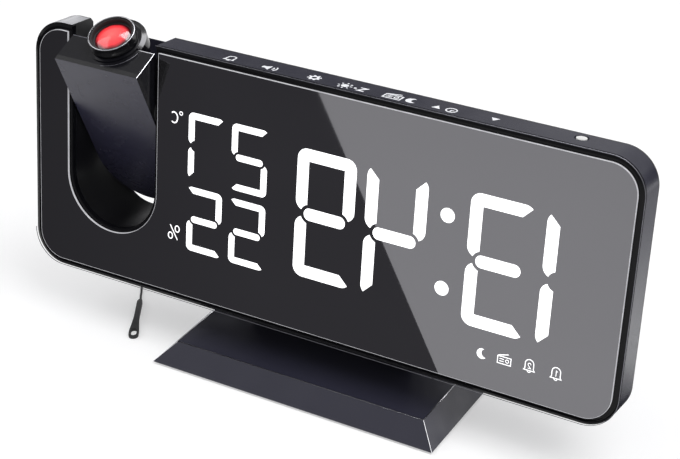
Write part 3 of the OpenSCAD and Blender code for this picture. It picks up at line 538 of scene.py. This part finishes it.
# ---------------------------------------------------------------- antenna lead
LEAD_D = 0.7
DROP = [
    (-47.3, 12, 40.6), (-47.3, 13.6, 40.3), (-47.3, 15, 39.6), (-47.4, 16.1, 38.5),
    (-47.5, 16.8, 37), (-47.6, 17.1, 35.2), (-47.7, 17.2, 33.2), (-47.9, 17.2, 31),
    (-48.1, 17.2, 28.8), (-48.4, 17.3, 26.5), (-48.8, 17.4, 24.2), (-49.3, 17.5, 21.8),
    (-49.9, 17.7, 19.4), (-50.7, 18, 17), (-51.6, 18.4, 14.7), (-52.7, 18.9, 12.5),
    (-54, 19.5, 10.4), (-55.6, 20.2, 8.5), (-57.4, 21, 6.9), (-59.4, 21.8, 5.6),
    (-61.6, 22.5, 4.9), (-63.9, 23.1, 4.5), (-66.3, 23.4, 4.4), (-68.7, 23.6, 4.4),
]
RUN_OUT = [
    (-75.9, 12.5, 0.75), (-75.1, 11.1, 0.6), (-74.3, 9.75, 0.45),
    (-73.5, 8.5, 0.36), (-72.6, 7.1, 0.35), (-71.7, 5.7, 0.35), (-70.9, 4.3, 0.35),
    (-70, 3, 0.35), (-69.3, 1.8, 0.35),
]
COIL_MID, COIL_LOW, COIL_IN, COIL_OUT, COIL_STEP = (-71.7, 17.5), 0.8, 2.2, 6.1, 1.2
COIL_LAYERS, COIL_CLIMB, COIL_TURNS, COIL_START = 4, 0.5, 13 + 1 / 3, 210
COIL_RINGS = 48


def coil_point(t):
    """A point of the coil after t turns: each layer spirals in or out, then climbs to the next."""
    layer_turns = (COIL_TURNS - (COIL_LAYERS - 1) * COIL_CLIMB) / COIL_LAYERS
    k = min(math.floor(t / (layer_turns + COIL_CLIMB)), COIL_LAYERS - 1)
    into = t - k * (layer_turns + COIL_CLIMB)
    u = min(into / layer_turns, 1)
    v = max(0, (into - layer_turns) / COIL_CLIMB)
    a, b = (COIL_OUT, COIL_IN) if k % 2 == 0 else (COIL_IN, COIL_OUT)
    r = a + (b - a) * u
    angle = math.radians(COIL_START - 360 * t)
    z = COIL_LOW + COIL_STEP * (k + (1 - math.cos(math.pi * v)) / 2)
    return (COIL_MID[0] + r * math.cos(angle), COIL_MID[1] + r * math.sin(angle), z)


def make_lead():
    """The antenna's lead from its gland, through the tied coil behind the case, to its tip."""
    steps = round(COIL_TURNS * COIL_RINGS)
    coil = [coil_point(i / COIL_RINGS) for i in range(steps + 1)]
    line = DROP + coil[::-1] + RUN_OUT
    line = [tuple(c * MM for c in p) for p in line]
    data = bpy.data.curves.new("antenna_wire", "CURVE")
    data.dimensions = "3D"
    spline = data.splines.new("POLY")
    spline.points.add(len(line) - 1)
    for point, p in zip(spline.points, line):
        point.co = (*p, 1)
    data.bevel_depth = LEAD_D / 2 * MM
    data.bevel_resolution = 3
    data.use_fill_caps = True
    data.materials.append(MATERIALS["rubber"])
    ob = bpy.data.objects.new("antenna_wire", data)
    bpy.context.scene.collection.objects.link(ob)
    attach(ob, "root")
    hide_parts("antenna_drop", "antenna_coil", "antenna_lead")


make_lead()


# ---------------------------------------------------------------- bright edge lines: reflecting strips, and painted highlights on the mirror's cut edge and the arm's top
def painted_edge_highlight():
    """The corner of the arm's top, bright where it catches the light: a pale strip whose pale colour is a
    painted highlight, brightened further by what it reflects.
    """
    n = Nodes("painted_edge_highlight")
    # pale grey: painted highlight
    n.link(
        n.ramp(n.noise(90, 2), [(0.3, (0.62, 0.62, 0.65)), (0.7, (0.8, 0.8, 0.82))]),
        n.bsdf.inputs["Base Color"],
    )
    n.link(n.span(n.noise(300, 2), 0.3, 0.7, 0.16, 0.3), n.bsdf.inputs["Roughness"])
    n.set(metal=0.7)
    return n.mat


EDGE = painted_edge_highlight()
# The mirror's cut edge gives off light of its own: a painted highlight.
PAINTED_CUT_GLOW = lit("cut_edge_painted_glow", (0.42, 0.42, 0.44), 0.75, (0.3, 0.3, 0.32))


def mirror_outline():
    """The mirror's cut edge: rounded outline, then down, round and up the arm's slot."""
    w, h, r = MIRROR_W / 2, MIRROR_H / 2, MIRROR_R
    half = SLOT_OUT / 2
    line = [(SLOT_X + half, h)]
    line += arc(w - r, h - r, r, 90, 0, 14)
    line += arc(w - r, -h + r, r, 0, -90, 14)
    line += arc(-w + r, -h + r, r, 270, 180, 14)
    line += arc(-w + r, h - r, r, 180, 90, 14)
    line += [(SLOT_X - half, h)]
    line += arc(SLOT_X, SLOT_CZ, half, 180, 360, 40)
    return line


def draw_band(bm, line, profile, closed=True):
    """A strip along a line on the face: profile gives how far outwards and how far forwards."""
    left = offsets(line, closed)
    rows = []
    for p, m in zip(line, left):
        rows.append([bm.verts.new(on_face(*(Vector(p) + m * out), h)) for out, h in profile])
    for a, b in zip(rows, rows[1:] + (rows[:1] if closed else [])):
        for k in range(len(profile) - 1):
            bm.faces.new((a[k], a[k + 1], b[k + 1], b[k]))


def draw_mirror_edge(bm):
    """The mirror's cut edge: down into its groove, and a narrow strip on its front."""
    draw_band(bm, mirror_outline(), [(0.02, -0.6), (0.02, 0.0), (0.0, 0.02), (-0.06, 0.02), (-0.09, 0.0)])


def draw_rim(bm):
    """Light line on the face's outline, from the slot round the right end to the lower left.

    A known fault: the frame slopes back towards its outer corner and this line doesn't, so the line
    hangs 0.5 to 0.8 mm off the frame.
    """
    w, h, r = CASE_W / 2, CASE_TOP, CASE_R
    line = [(SLOT_X + SLOT_IN / 2, h)]
    for cx, cz, a in ((w - r, h - r, 90), (w - r, -h + r, 0), (-w + r, -h + r, -90)):
        line += arc(cx, cz, r, a, a - 90, 16)
    behind = [(0.0, -0.26), (0.03, -0.2), (0.05, -0.04)]
    ahead = [(0.03, 0.02), (0.0, 0.04), (-0.08, 0.03), (-0.14, 0.0)]
    draw_band(bm, line, behind + ahead, closed=False)


def draw_arm_edges(bm):
    """Strip along the corners of the arm's top, right of the tube: the light they catch, part reflection and
    part painted highlight.
    """
    x = SLOT_X + ARM_W / 2 - 0.07
    y = ARM_T - LINE_IN
    stroke(bm, [(x, 0.1), (x, y), (SLOT_X + TUBE_CLEAR_RIGHT, y)], 0.26, on_arm, 0.07, False, 0.5)


def draw_arm_back_edge(bm):
    """The rear edge of the arm's top, left of the tube."""
    y = ARM_T - LINE_IN
    stroke(bm, [(SLOT_X - ARM_W / 2 + 0.1, y), (SLOT_X - TUBE_CLEAR_LEFT, y)], 0.2, on_arm, 0.05, False, 0.5)


def draw_base_edges(bm):
    """The base's upper corners, where its flat top meets the slopes, and its four slanting ones."""
    w, d = BASE_W / 2 - BASE_SLOPE, BASE_D / 2 - BASE_SLOPE
    stroke(bm, [(-w, -d), (w, -d), (w, d), (-w, d)], 0.3, on_base, 0.05, True, 0.5)
    for sx, sy in ((-1, -1), (1, -1), (1, 1), (-1, 1)):
        top = Vector((sx * w, sy * d, BASE_TOP + 0.02))
        foot = Vector((sx * BASE_W / 2, sy * BASE_D / 2, BASE_FOOT + 0.1))
        side = Vector((-sy, sx, 0)).normalized() * 0.1
        out = Vector((sx, sy, 1)).normalized() * 0.05
        ring = [[bm.verts.new(p + q) for q in (side, out, -side)] for p in (top, foot)]
        for k in range(2):
            bm.faces.new((ring[0][k], ring[0][k + 1], ring[1][k + 1], ring[1][k]))


POLISH = metal("polished_rim", (0.42, 0.42, 0.44), 0.2, (1, 1, 1), 0)
RIM = metal("rim_sheen", (0.17, 0.17, 0.19), 0.3, (1, 1, 1), 0)
piece("mirror_edge", draw_mirror_edge, CASE, PAINTED_CUT_GLOW, "root", smooth=30)
piece("rim_line", draw_rim, CASE, RIM, "root", smooth=60)
piece("base_edges", draw_base_edges, TABLE, POLISH, "root", smooth=60)
piece("arm_edge_right", draw_arm_edges, ARM, EDGE, "arm", smooth=60)
piece("arm_edge_left", draw_arm_back_edge, ARM, RIM, "arm", smooth=60)


def turned(profile, start=0, end=360, sides=72):
    """A mesh maker for a ring round the lens's axis: radius, height above the arm's top."""

    def draw(bm):
        rows = []
        whole = end - start == 360
        for i in range(sides if whole else sides + 1):
            a = math.radians(start + (end - start) * i / sides)
            c, sn = math.cos(a), math.sin(a)
            rows.append([bm.verts.new((SLOT_X + r * c, TUBE_Y + r * sn, ARM_TOP + h)) for r, h in profile])
        for a, b in zip(rows, rows[1:] + (rows[:1] if whole else [])):
            for k in range(len(profile) - 1):
                bm.faces.new((a[k], a[k + 1], b[k + 1], b[k]))

    return draw


COLLAR = [(7.8, 0.0), (7.9, 0.42), (8.05, 0.5), (9.42, 0.08), (9.46, -0.02), (9.44, -0.25)]
ARC_LINE = [(9.3, 0.0), (9.33, 0.05), (9.43, 0.05), (9.46, 0.0)]
MOUTH = [(6.92, 3.42), (6.94, 3.58), (6.88, 3.63), (6.74, 3.64), (6.6, 3.61)]
piece("tube_collar", turned(COLLAR, -4, 184), ARM, SPECIAL["focus_ring"], "arm", smooth=35)
piece("tube_line", turned(ARC_LINE, -85, -12, 40), ARM, RIM, "arm", smooth=60)
piece("mouth_rim", turned(MOUTH), ARM, POLISH, "focus", smooth=60)

# ---------------------------------------------------------------- printed and lit signs
INK = moulded("print_white", (0.86, 0.87, 0.9), rough=0.4, grain=0.2, grain_scale=3000, vary=0.04)
GLOW = lit("sign_light", (1, 1, 1), 0.8, (0.9, 0.92, 0.95))


def bell(bm, cx, cz, size, place, width=0.3, number=None):
    """Bell in outline with its clapper; a plain number can stand inside, mirrored as the display is."""
    w, h = size * 0.3, size * 0.5
    line = [(cx - w * 1.2, cz - h * 0.62), (cx - w * 0.95, cz - h * 0.4)]
    line += arc(cx, cz + h * 0.3, w * 0.95, 180, 0, 12)
    line += [(cx + w * 0.95, cz - h * 0.4), (cx + w * 1.2, cz - h * 0.62)]
    stroke(bm, line, width, place, closed=True)
    stroke(bm, arc(cx, cz - h * 0.66, w * 0.36, 180, 360, 6), width * 0.9, place)
    s = size * 0.11
    if number == 1:
        stroke(bm, [(cx, cz - 1.6 * s), (cx, cz + 1.9 * s), (cx + 0.8 * s, cz + 1.3 * s)], width * 0.8, place)
    if number == 2:
        two = [(2 * cx - x, z) for x, z in arc(cx, cz + 0.9 * s, 0.9 * s, 190, -30, 8)]
        two += [(cx + 0.9 * s, cz - 1.5 * s), (cx - 0.9 * s, cz - 1.5 * s)]
        stroke(bm, two, width * 0.75, place)


def moon(bm, cx, cz, r, place):
    """Crescent between a round outer edge and a flatter inner one."""
    outer = arc(cx, cz, r, 70, 320, 18)
    (x0, z0), (x1, z1) = outer[0], outer[-1]
    mid = ((x0 + x1) / 2, (z0 + z1) / 2)
    gap = math.dist((x0, z0), (x1, z1)) / 2
    lean = Vector((mid[0] - cx, mid[1] - cz)).normalized()
    centre = (mid[0] + lean.x * gap * 0.25, mid[1] + lean.y * gap * 0.25)
    inner_r = math.dist(centre, (x0, z0))
    a1 = math.degrees(math.atan2(z1 - centre[1], x1 - centre[0]))
    a0 = math.degrees(math.atan2(z0 - centre[1], x0 - centre[0]))
    sweep = (a0 - a1) % 360 - 360
    inner = arc(centre[0], centre[1], inner_r, a1, a1 + sweep, 12)
    patch(bm, outer + inner[1:-1], place)


def radio(bm, cx, cz, w, place, width=0.26):
    """Portable radio in outline: body, dial, tuning bars and slanting aerial."""
    h = w * 0.62
    x0, x1, z0, z1 = cx - w / 2, cx + w / 2, cz - h / 2 - 0.2, cz + h / 2 - 0.5
    stroke(bm, [(x0, z0), (x1, z0), (x1, z1), (x0, z1)], width, place, closed=True)
    stroke(bm, [(x0 + 0.2, z1 + 0.2), (x1 - w * 0.2, z1 + w * 0.26)], width, place)
    stroke(bm, arc(cx + w * 0.22, (z0 + z1) / 2, w * 0.12, 0, 345, 12)[:-1], width * 0.8, place, closed=True)
    for k in (-1, 1):
        z = (z0 + z1) / 2 + k * h * 0.14
        stroke(bm, [(x0 + w * 0.14, z), (cx - w * 0.02, z)], width * 0.8, place)


def celsius(bm, ring, letter):
    """Degree ring and C as they stand in the mirror-imaged display: ring right, C open left."""
    (x, z, r), (cx, cz, r_x, r_z) = ring, letter
    stroke(bm, arc(x, z, r, 0, 360, 16)[:-1], 0.26, on_face, closed=True)
    stroke(bm, oval(cx, cz, r_x, r_z, range(128, -129, -16)), 0.4, on_face)


def percent(bm, x0, x1, z0, z1):
    """Percent sign as it stands in the mirror-imaged display."""
    cx, cz = (x0 + x1) / 2, (z0 + z1) / 2
    w, h = x1 - x0, z1 - z0
    for sx, sz in ((-1, -1), (1, 1)):
        ox, oz = cx + sx * w * 0.27, cz + sz * h * 0.24
        stroke(bm, oval(ox, oz, w * 0.17, h * 0.19, range(0, 360, 24)), 0.34, on_face, closed=True)
    stroke(bm, [(cx - w * 0.3, cz + h * 0.42), (cx + w * 0.3, cz - h * 0.42)], 0.34, on_face)


SIGNS = {
    "sign_celsius": lambda bm: celsius(bm, (-43.0, 20.0, 0.5), (-45.35, 18.35, 1.2, 1.6)),
    "sign_percent": lambda bm: percent(bm, -46.8, -42.5, -19.5, -14.3),
    "sign_sleep": lambda bm: moon(bm, 55.4, -26.2, 1.55, on_face),
    "sign_radio": lambda bm: radio(bm, 62.0, -26.0, 3.9, on_face),
    "sign_bell_2": lambda bm: bell(bm, 69.3, -25.7, 4.3, on_face, 0.26, 2),
    "sign_bell_1": lambda bm: bell(bm, 77.0, -25.7, 4.3, on_face, 0.26, 1),
}
for sign, draw_sign in SIGNS.items():
    piece(sign, draw_sign, CASE, GLOW, "root")


def sun(bm, cx, cz, r, place, width=0.3):
    """Small disc with eight rays."""
    disc(bm, cx, cz, r * 0.5, place)
    for k in range(8):
        a = math.radians(45 * k)
        c, s = math.cos(a), math.sin(a)
        stroke(bm, [(cx + c * r * 0.7, cz + s * r * 0.7), (cx + c * r, cz + s * r)], width, place)


def loudspeaker(bm, cx, cz, w, place, width=0.3):
    """Loudspeaker in outline with two sound waves."""
    patch(
        bm,
        [
            (cx - w * 0.5, cz - w * 0.14), (cx - w * 0.28, cz - w * 0.14), (cx, cz - w * 0.34),
            (cx, cz + w * 0.34), (cx - w * 0.28, cz + w * 0.14), (cx - w * 0.5, cz + w * 0.14),
        ],
        place,
    )
    for r in (0.24, 0.44):
        stroke(bm, arc(cx, cz, w * r, -42, 42, 6), width, place)


def gear(bm, cx, cz, r, place):
    """Ring with eight short teeth."""
    stroke(bm, arc(cx, cz, r * 0.55, 0, 345, 16)[:-1], r * 0.34, place, closed=True)
    for k in range(8):
        a = math.radians(45 * k + 22.5)
        c, s = math.cos(a), math.sin(a)
        stroke(bm, [(cx + c * r * 0.66, cz + s * r * 0.66), (cx + c * r, cz + s * r)], r * 0.3, place)


def triangle(bm, cx, cz, w, place, way=1):
    """Triangle that points up for way = 1 and down for way = -1."""
    foot, tip = cz - way * w * 0.4, cz + way * w * 0.45
    patch(bm, [(cx - w / 2, foot), (cx + w / 2, foot), (cx, tip)], place)


def draw_key_prints(bm):
    """Plain pictograms in front of the keys, in place of the printed words."""
    bell(bm, -29.5, 3.9, 4.2, on_top, 0.42)
    loudspeaker(bm, -16.6, 3.6, 4.8, on_top, 0.42)
    gear(bm, -2.9, 4.2, 2.0, on_top)
    sun(bm, 6.9, 3.7, 2.2, on_top, 0.42)
    disc(bm, 10.1, 3.6, 0.45, on_top)
    stroke(bm, [(11.2, 4.9), (13.2, 4.9), (11.2, 2.5), (13.2, 2.5)], 0.5, on_top)
    radio(bm, 21.4, 4.1, 5.0, on_top, 0.44)
    moon(bm, 26.9, 4.1, 1.75, on_top)
    triangle(bm, 34.4, 4.0, 2.5, on_top, 1)
    stroke(bm, arc(38.6, 4.0, 1.5, 0, 345, 16)[:-1], 0.42, on_top, closed=True)
    stroke(bm, [(38.6, 3.0), (38.6, 4.0), (39.4, 4.0)], 0.4, on_top)
    triangle(bm, 50.6, 4.8, 2.4, on_top, -1)


piece("key_prints", draw_key_prints, CASE, INK, "root")


# ---------------------------------------------------------------- floor, world and lamps
FLOOR_HALF, FLOOR_GLOW = 3.0, 0.42
# Height from the horizon up, and the sky's brightness there
SKY_STOPS = [(0.0, 0.95), (0.08, 0.6), (0.2, 0.34), (0.4, 0.4), (0.75, 0.62), (1.0, 0.75)]


def make_floor():
    """A plain pale floor, lifted by a little light of its own that only views and reflections see."""
    mesh = bpy.data.meshes.new("floor")
    s = FLOOR_HALF
    mesh.from_pydata([(-s, -s, 0), (s, -s, 0), (s, s, 0), (-s, s, 0)], [], [(0, 1, 2, 3)])
    ob = bpy.data.objects.new("floor", mesh)
    ob.location.z = -0.0001
    bpy.context.scene.collection.objects.link(ob)
    n = Nodes("floor_white")
    n.link(
        n.ramp(n.noise(6, 2), [(0.3, (0.6, 0.6, 0.605)), (0.7, (0.62, 0.62, 0.62))]),
        n.bsdf.inputs["Base Color"],
    )
    n.set(rough=0.9, level=0.1)
    glow = n.add("ShaderNodeEmission")
    path = n.add("ShaderNodeLightPath")
    seen = n.calc("MAXIMUM", path.outputs["Is Camera Ray"], path.outputs["Is Glossy Ray"])
    seen = n.calc("MAXIMUM", seen, path.outputs["Is Transmission Ray"])
    n.link(n.calc("MULTIPLY", seen, FLOOR_GLOW), glow.inputs["Strength"])
    both = n.add("ShaderNodeAddShader")
    n.link(n.bsdf.outputs[0], both.inputs[0])
    n.link(glow.outputs[0], both.inputs[1])
    n.link(both.outputs[0], n.out.inputs["Surface"])
    mesh.materials.append(n.mat)


def make_world():
    """White to the camera. To the object a soft sky: bright at the horizon, dim above it, paler overhead."""
    world = bpy.data.worlds.new("studio")
    bpy.context.scene.world = world
    world.use_nodes = True
    tree = world.node_tree
    back = tree.nodes["Background"]
    out = tree.nodes["World Output"]
    coord = tree.nodes.new("ShaderNodeTexCoord")
    split = tree.nodes.new("ShaderNodeSeparateXYZ")
    tree.links.new(coord.outputs["Generated"], split.inputs[0])
    ramp = tree.nodes.new("ShaderNodeValToRGB")
    while len(ramp.color_ramp.elements) < len(SKY_STOPS):
        ramp.color_ramp.elements.new(0.5)
    for spot, (at, v) in zip(ramp.color_ramp.elements, SKY_STOPS):
        spot.position = at
        spot.color = (v, v, v * 1.02, 1)
    tree.links.new(split.outputs["Z"], ramp.inputs["Fac"])
    tree.links.new(ramp.outputs["Color"], back.inputs["Color"])
    white = tree.nodes.new("ShaderNodeBackground")
    white.inputs["Color"].default_value = (1, 1, 1, 1)
    path = tree.nodes.new("ShaderNodeLightPath")
    mix = tree.nodes.new("ShaderNodeMixShader")
    seen = tree.nodes.new("ShaderNodeMath")
    seen.operation = "MAXIMUM"
    tree.links.new(path.outputs["Is Camera Ray"], seen.inputs[0])
    tree.links.new(path.outputs["Is Transmission Ray"], seen.inputs[1])
    tree.links.new(seen.outputs[0], mix.inputs[0])
    tree.links.new(back.outputs[0], mix.inputs[1])
    tree.links.new(white.outputs[0], mix.inputs[2])
    tree.links.new(mix.outputs[0], out.inputs["Surface"])


LAMPS_LOOK_AT = (0, 0, 0.03)


def lamp(name, at, size, power):
    """A square soft light that looks at the clock."""
    data = bpy.data.lights.new(name, "AREA")
    data.energy = power
    data.size = size
    ob = bpy.data.objects.new(name, data)
    ob.location = at
    ob.rotation_mode = "QUATERNION"
    ob.rotation_quaternion = (Vector(LAMPS_LOOK_AT) - Vector(at)).to_track_quat("-Z", "Y")
    bpy.context.scene.collection.objects.link(ob)


def through_pixel(u, v):
    """Start and direction of the camera's ray through a pixel of the picture."""
    m = bpy.context.scene.camera.matrix_world
    d = m.to_3x3() @ Vector(((u - PICTURE_W / 2) / FOCAL, -(v - PICTURE_H / 2) / FOCAL, -1))
    return m.translation.copy(), d.normalized()


def mirrored_on_floor(u, v):
    """Where the floor point lies that the mirror shows at a pixel."""
    origin, d = through_pixel(u, v)
    normal = (CASE.to_3x3() @ Vector((0, -1, 0))).normalized()
    foot = CASE @ Vector((0, 0, 0))
    t = (foot - origin).dot(normal) / d.dot(normal)
    hit = origin + d * t
    r = d - 2 * d.dot(normal) * normal
    return hit + r * (-hit.z / r.z)


def card(name, corners, colours, soft=None, strength=1.0, fall=None):
    """A card that only reflections see.

    soft fades it out from its middle to its edges, and fall dims it along a direction.
    """
    centre = sum((Vector(c) for c in corners), Vector()) / 4
    mesh = bpy.data.meshes.new(name)
    mesh.from_pydata([Vector(c) - centre for c in corners], [], [(0, 1, 2, 3)])
    ob = bpy.data.objects.new(name, mesh)
    ob.location = centre
    bpy.context.scene.collection.objects.link(ob)
    n = Nodes(name)
    glow = n.add("ShaderNodeEmission")
    n.link(n.ramp(n.noise(3, 2), [(0.3, colours[0]), (0.7, colours[1])]), glow.inputs["Color"])
    glow.inputs["Strength"].default_value = strength
    if fall:
        way, start, end, low = fall
        shift = centre.dot(way)
        n.link(n.span(n.dot(way), start - shift, end - shift, strength, low), glow.inputs["Strength"])
    shown = glow.outputs[0]
    if soft:
        full, none = soft
        far = n.add("ShaderNodeVectorMath", operation="LENGTH")
        n.link(n.coord.outputs["Object"], far.inputs[0])
        fade = n.add("ShaderNodeMapRange", interpolation_type="SMOOTHSTEP")
        n.link(far.outputs["Value"], fade.inputs["Value"])
        fade.inputs["From Min"].default_value, fade.inputs["From Max"].default_value = full, none
        blend = n.add("ShaderNodeMixShader")
        n.link(fade.outputs["Result"], blend.inputs[0])
        n.link(shown, blend.inputs[1])
        n.link(n.add("ShaderNodeBsdfTransparent").outputs[0], blend.inputs[2])
        shown = blend.outputs[0]
    n.link(shown, n.out.inputs["Surface"])
    mesh.materials.append(n.mat)
    ob.visible_camera = ob.visible_diffuse = ob.visible_shadow = ob.visible_transmission = False


def facing(at, toward, w, h):
    """Corners of a card round a point, turned to face another."""
    turn = (Vector(toward) - Vector(at)).to_track_quat("Z", "Y")
    around = ((-1, -1), (1, -1), (1, 1), (-1, 1))
    return [Vector(at) + turn @ Vector((x * w / 2, y * h / 2, 0)) for x, y in around]


# Pixels of the picture: the two ends of the mirror's diagonal, and a place on its dark side
DIAGONAL_TOP, DIAGONAL_LOW, DARK_SIDE = (317, 90), (437, 372), (150, 200)
DARK_CARD = ((0.135, 0.132, 0.145), (0.16, 0.157, 0.17))
CARD_NEAR_Y, CARD_FAR, CARD_WIDE = -0.061, 1.2, 1.6
FADE_FROM, FADE_TO, FADE_LOW = 0.05, 0.3, 0.3  # metres past the edge, and the share of brightness left
DARK = ((0.01, 0.01, 0.012), (0.014, 0.014, 0.016))
HALF = ((0.42, 0.42, 0.44), (0.46, 0.46, 0.48))
PALE = ((0.95, 0.95, 1.0), (1.0, 1.0, 1.0))


def make_dark_card():
    """A dark card on the floor that only reflections see: its edge is the mirror's diagonal."""
    a, b = mirrored_on_floor(*DIAGONAL_TOP), mirrored_on_floor(*DIAGONAL_LOW)
    along = (b - a).normalized()
    side = Vector((-along.y, along.x, 0))
    left = mirrored_on_floor(*DARK_SIDE)
    if (left - a).dot(side) < 0:
        side = -side
    near = a + along * ((CARD_NEAR_Y - a.y) / along.y)
    away = a + (a - near).normalized() * CARD_FAR
    out = side * CARD_WIDE
    corners = [away, near, Vector((near.x - CARD_WIDE, near.y, 0)), away + out]
    edge = a.dot(side)
    card(
        "dark_card",
        [(c.x, c.y, 0.0004) for c in corners],
        DARK_CARD,
        fall=(side, edge + FADE_FROM, edge + FADE_TO, FADE_LOW),
    )


def make_cards():
    """The cards that shape the reflections: each flag darkens and each gleam brightens one part."""
    make_dark_card()
    card("flag_corner", facing((0.215, 0.27, 0.06), (0.09, 0, 0.09), 0.26, 0.26), DARK, (0.03, 0.12))
    card("flag_low_right", facing((0.1, 0.005, 0.0006), (0.1, 0.005, 1), 0.1, 0.1), DARK, (0.012, 0.045))
    card("flag_far_right", facing((0.15, 0.16, 0.0007), (0.15, 0.16, 1), 0.28, 0.28), HALF, (0.02, 0.12))
    card("flag_low_left", facing((-0.1, 0.0, 0.0008), (-0.1, 0.0, 1), 0.14, 0.1), DARK, (0.002, 0.048))
    card("flag_behind", facing((-0.18, 0.3, 0.22), (0, 0, 0.01), 0.4, 0.34), DARK, (0.06, 0.16))
    card("gleam_right", facing((0.416, 0.44, 0.215), (0.07, 0, 0.01), 0.2, 0.2), PALE, (0.02, 0.09), 4.4)
    card("gleam_left", facing((-0.19, 0.119, 0.12), (-0.09, 0, 0.09), 0.09, 0.09), PALE, (0.01, 0.045), 3.0)
    card("gleam_above", facing((0.03, 0.42, 0.98), (-0.067, 0, 0.09), 0.7, 0.56), PALE, None, 10.0)


make_floor()
make_world()
make_cards()
lamp("key_light", (0.52, -0.14, 0.86), 0.65, 5.6)
lamp("fill_light", (-0.75, -0.2, 0.7), 0.6, 2.4)

bpy.context.scene.view_settings.view_transform = "Standard"
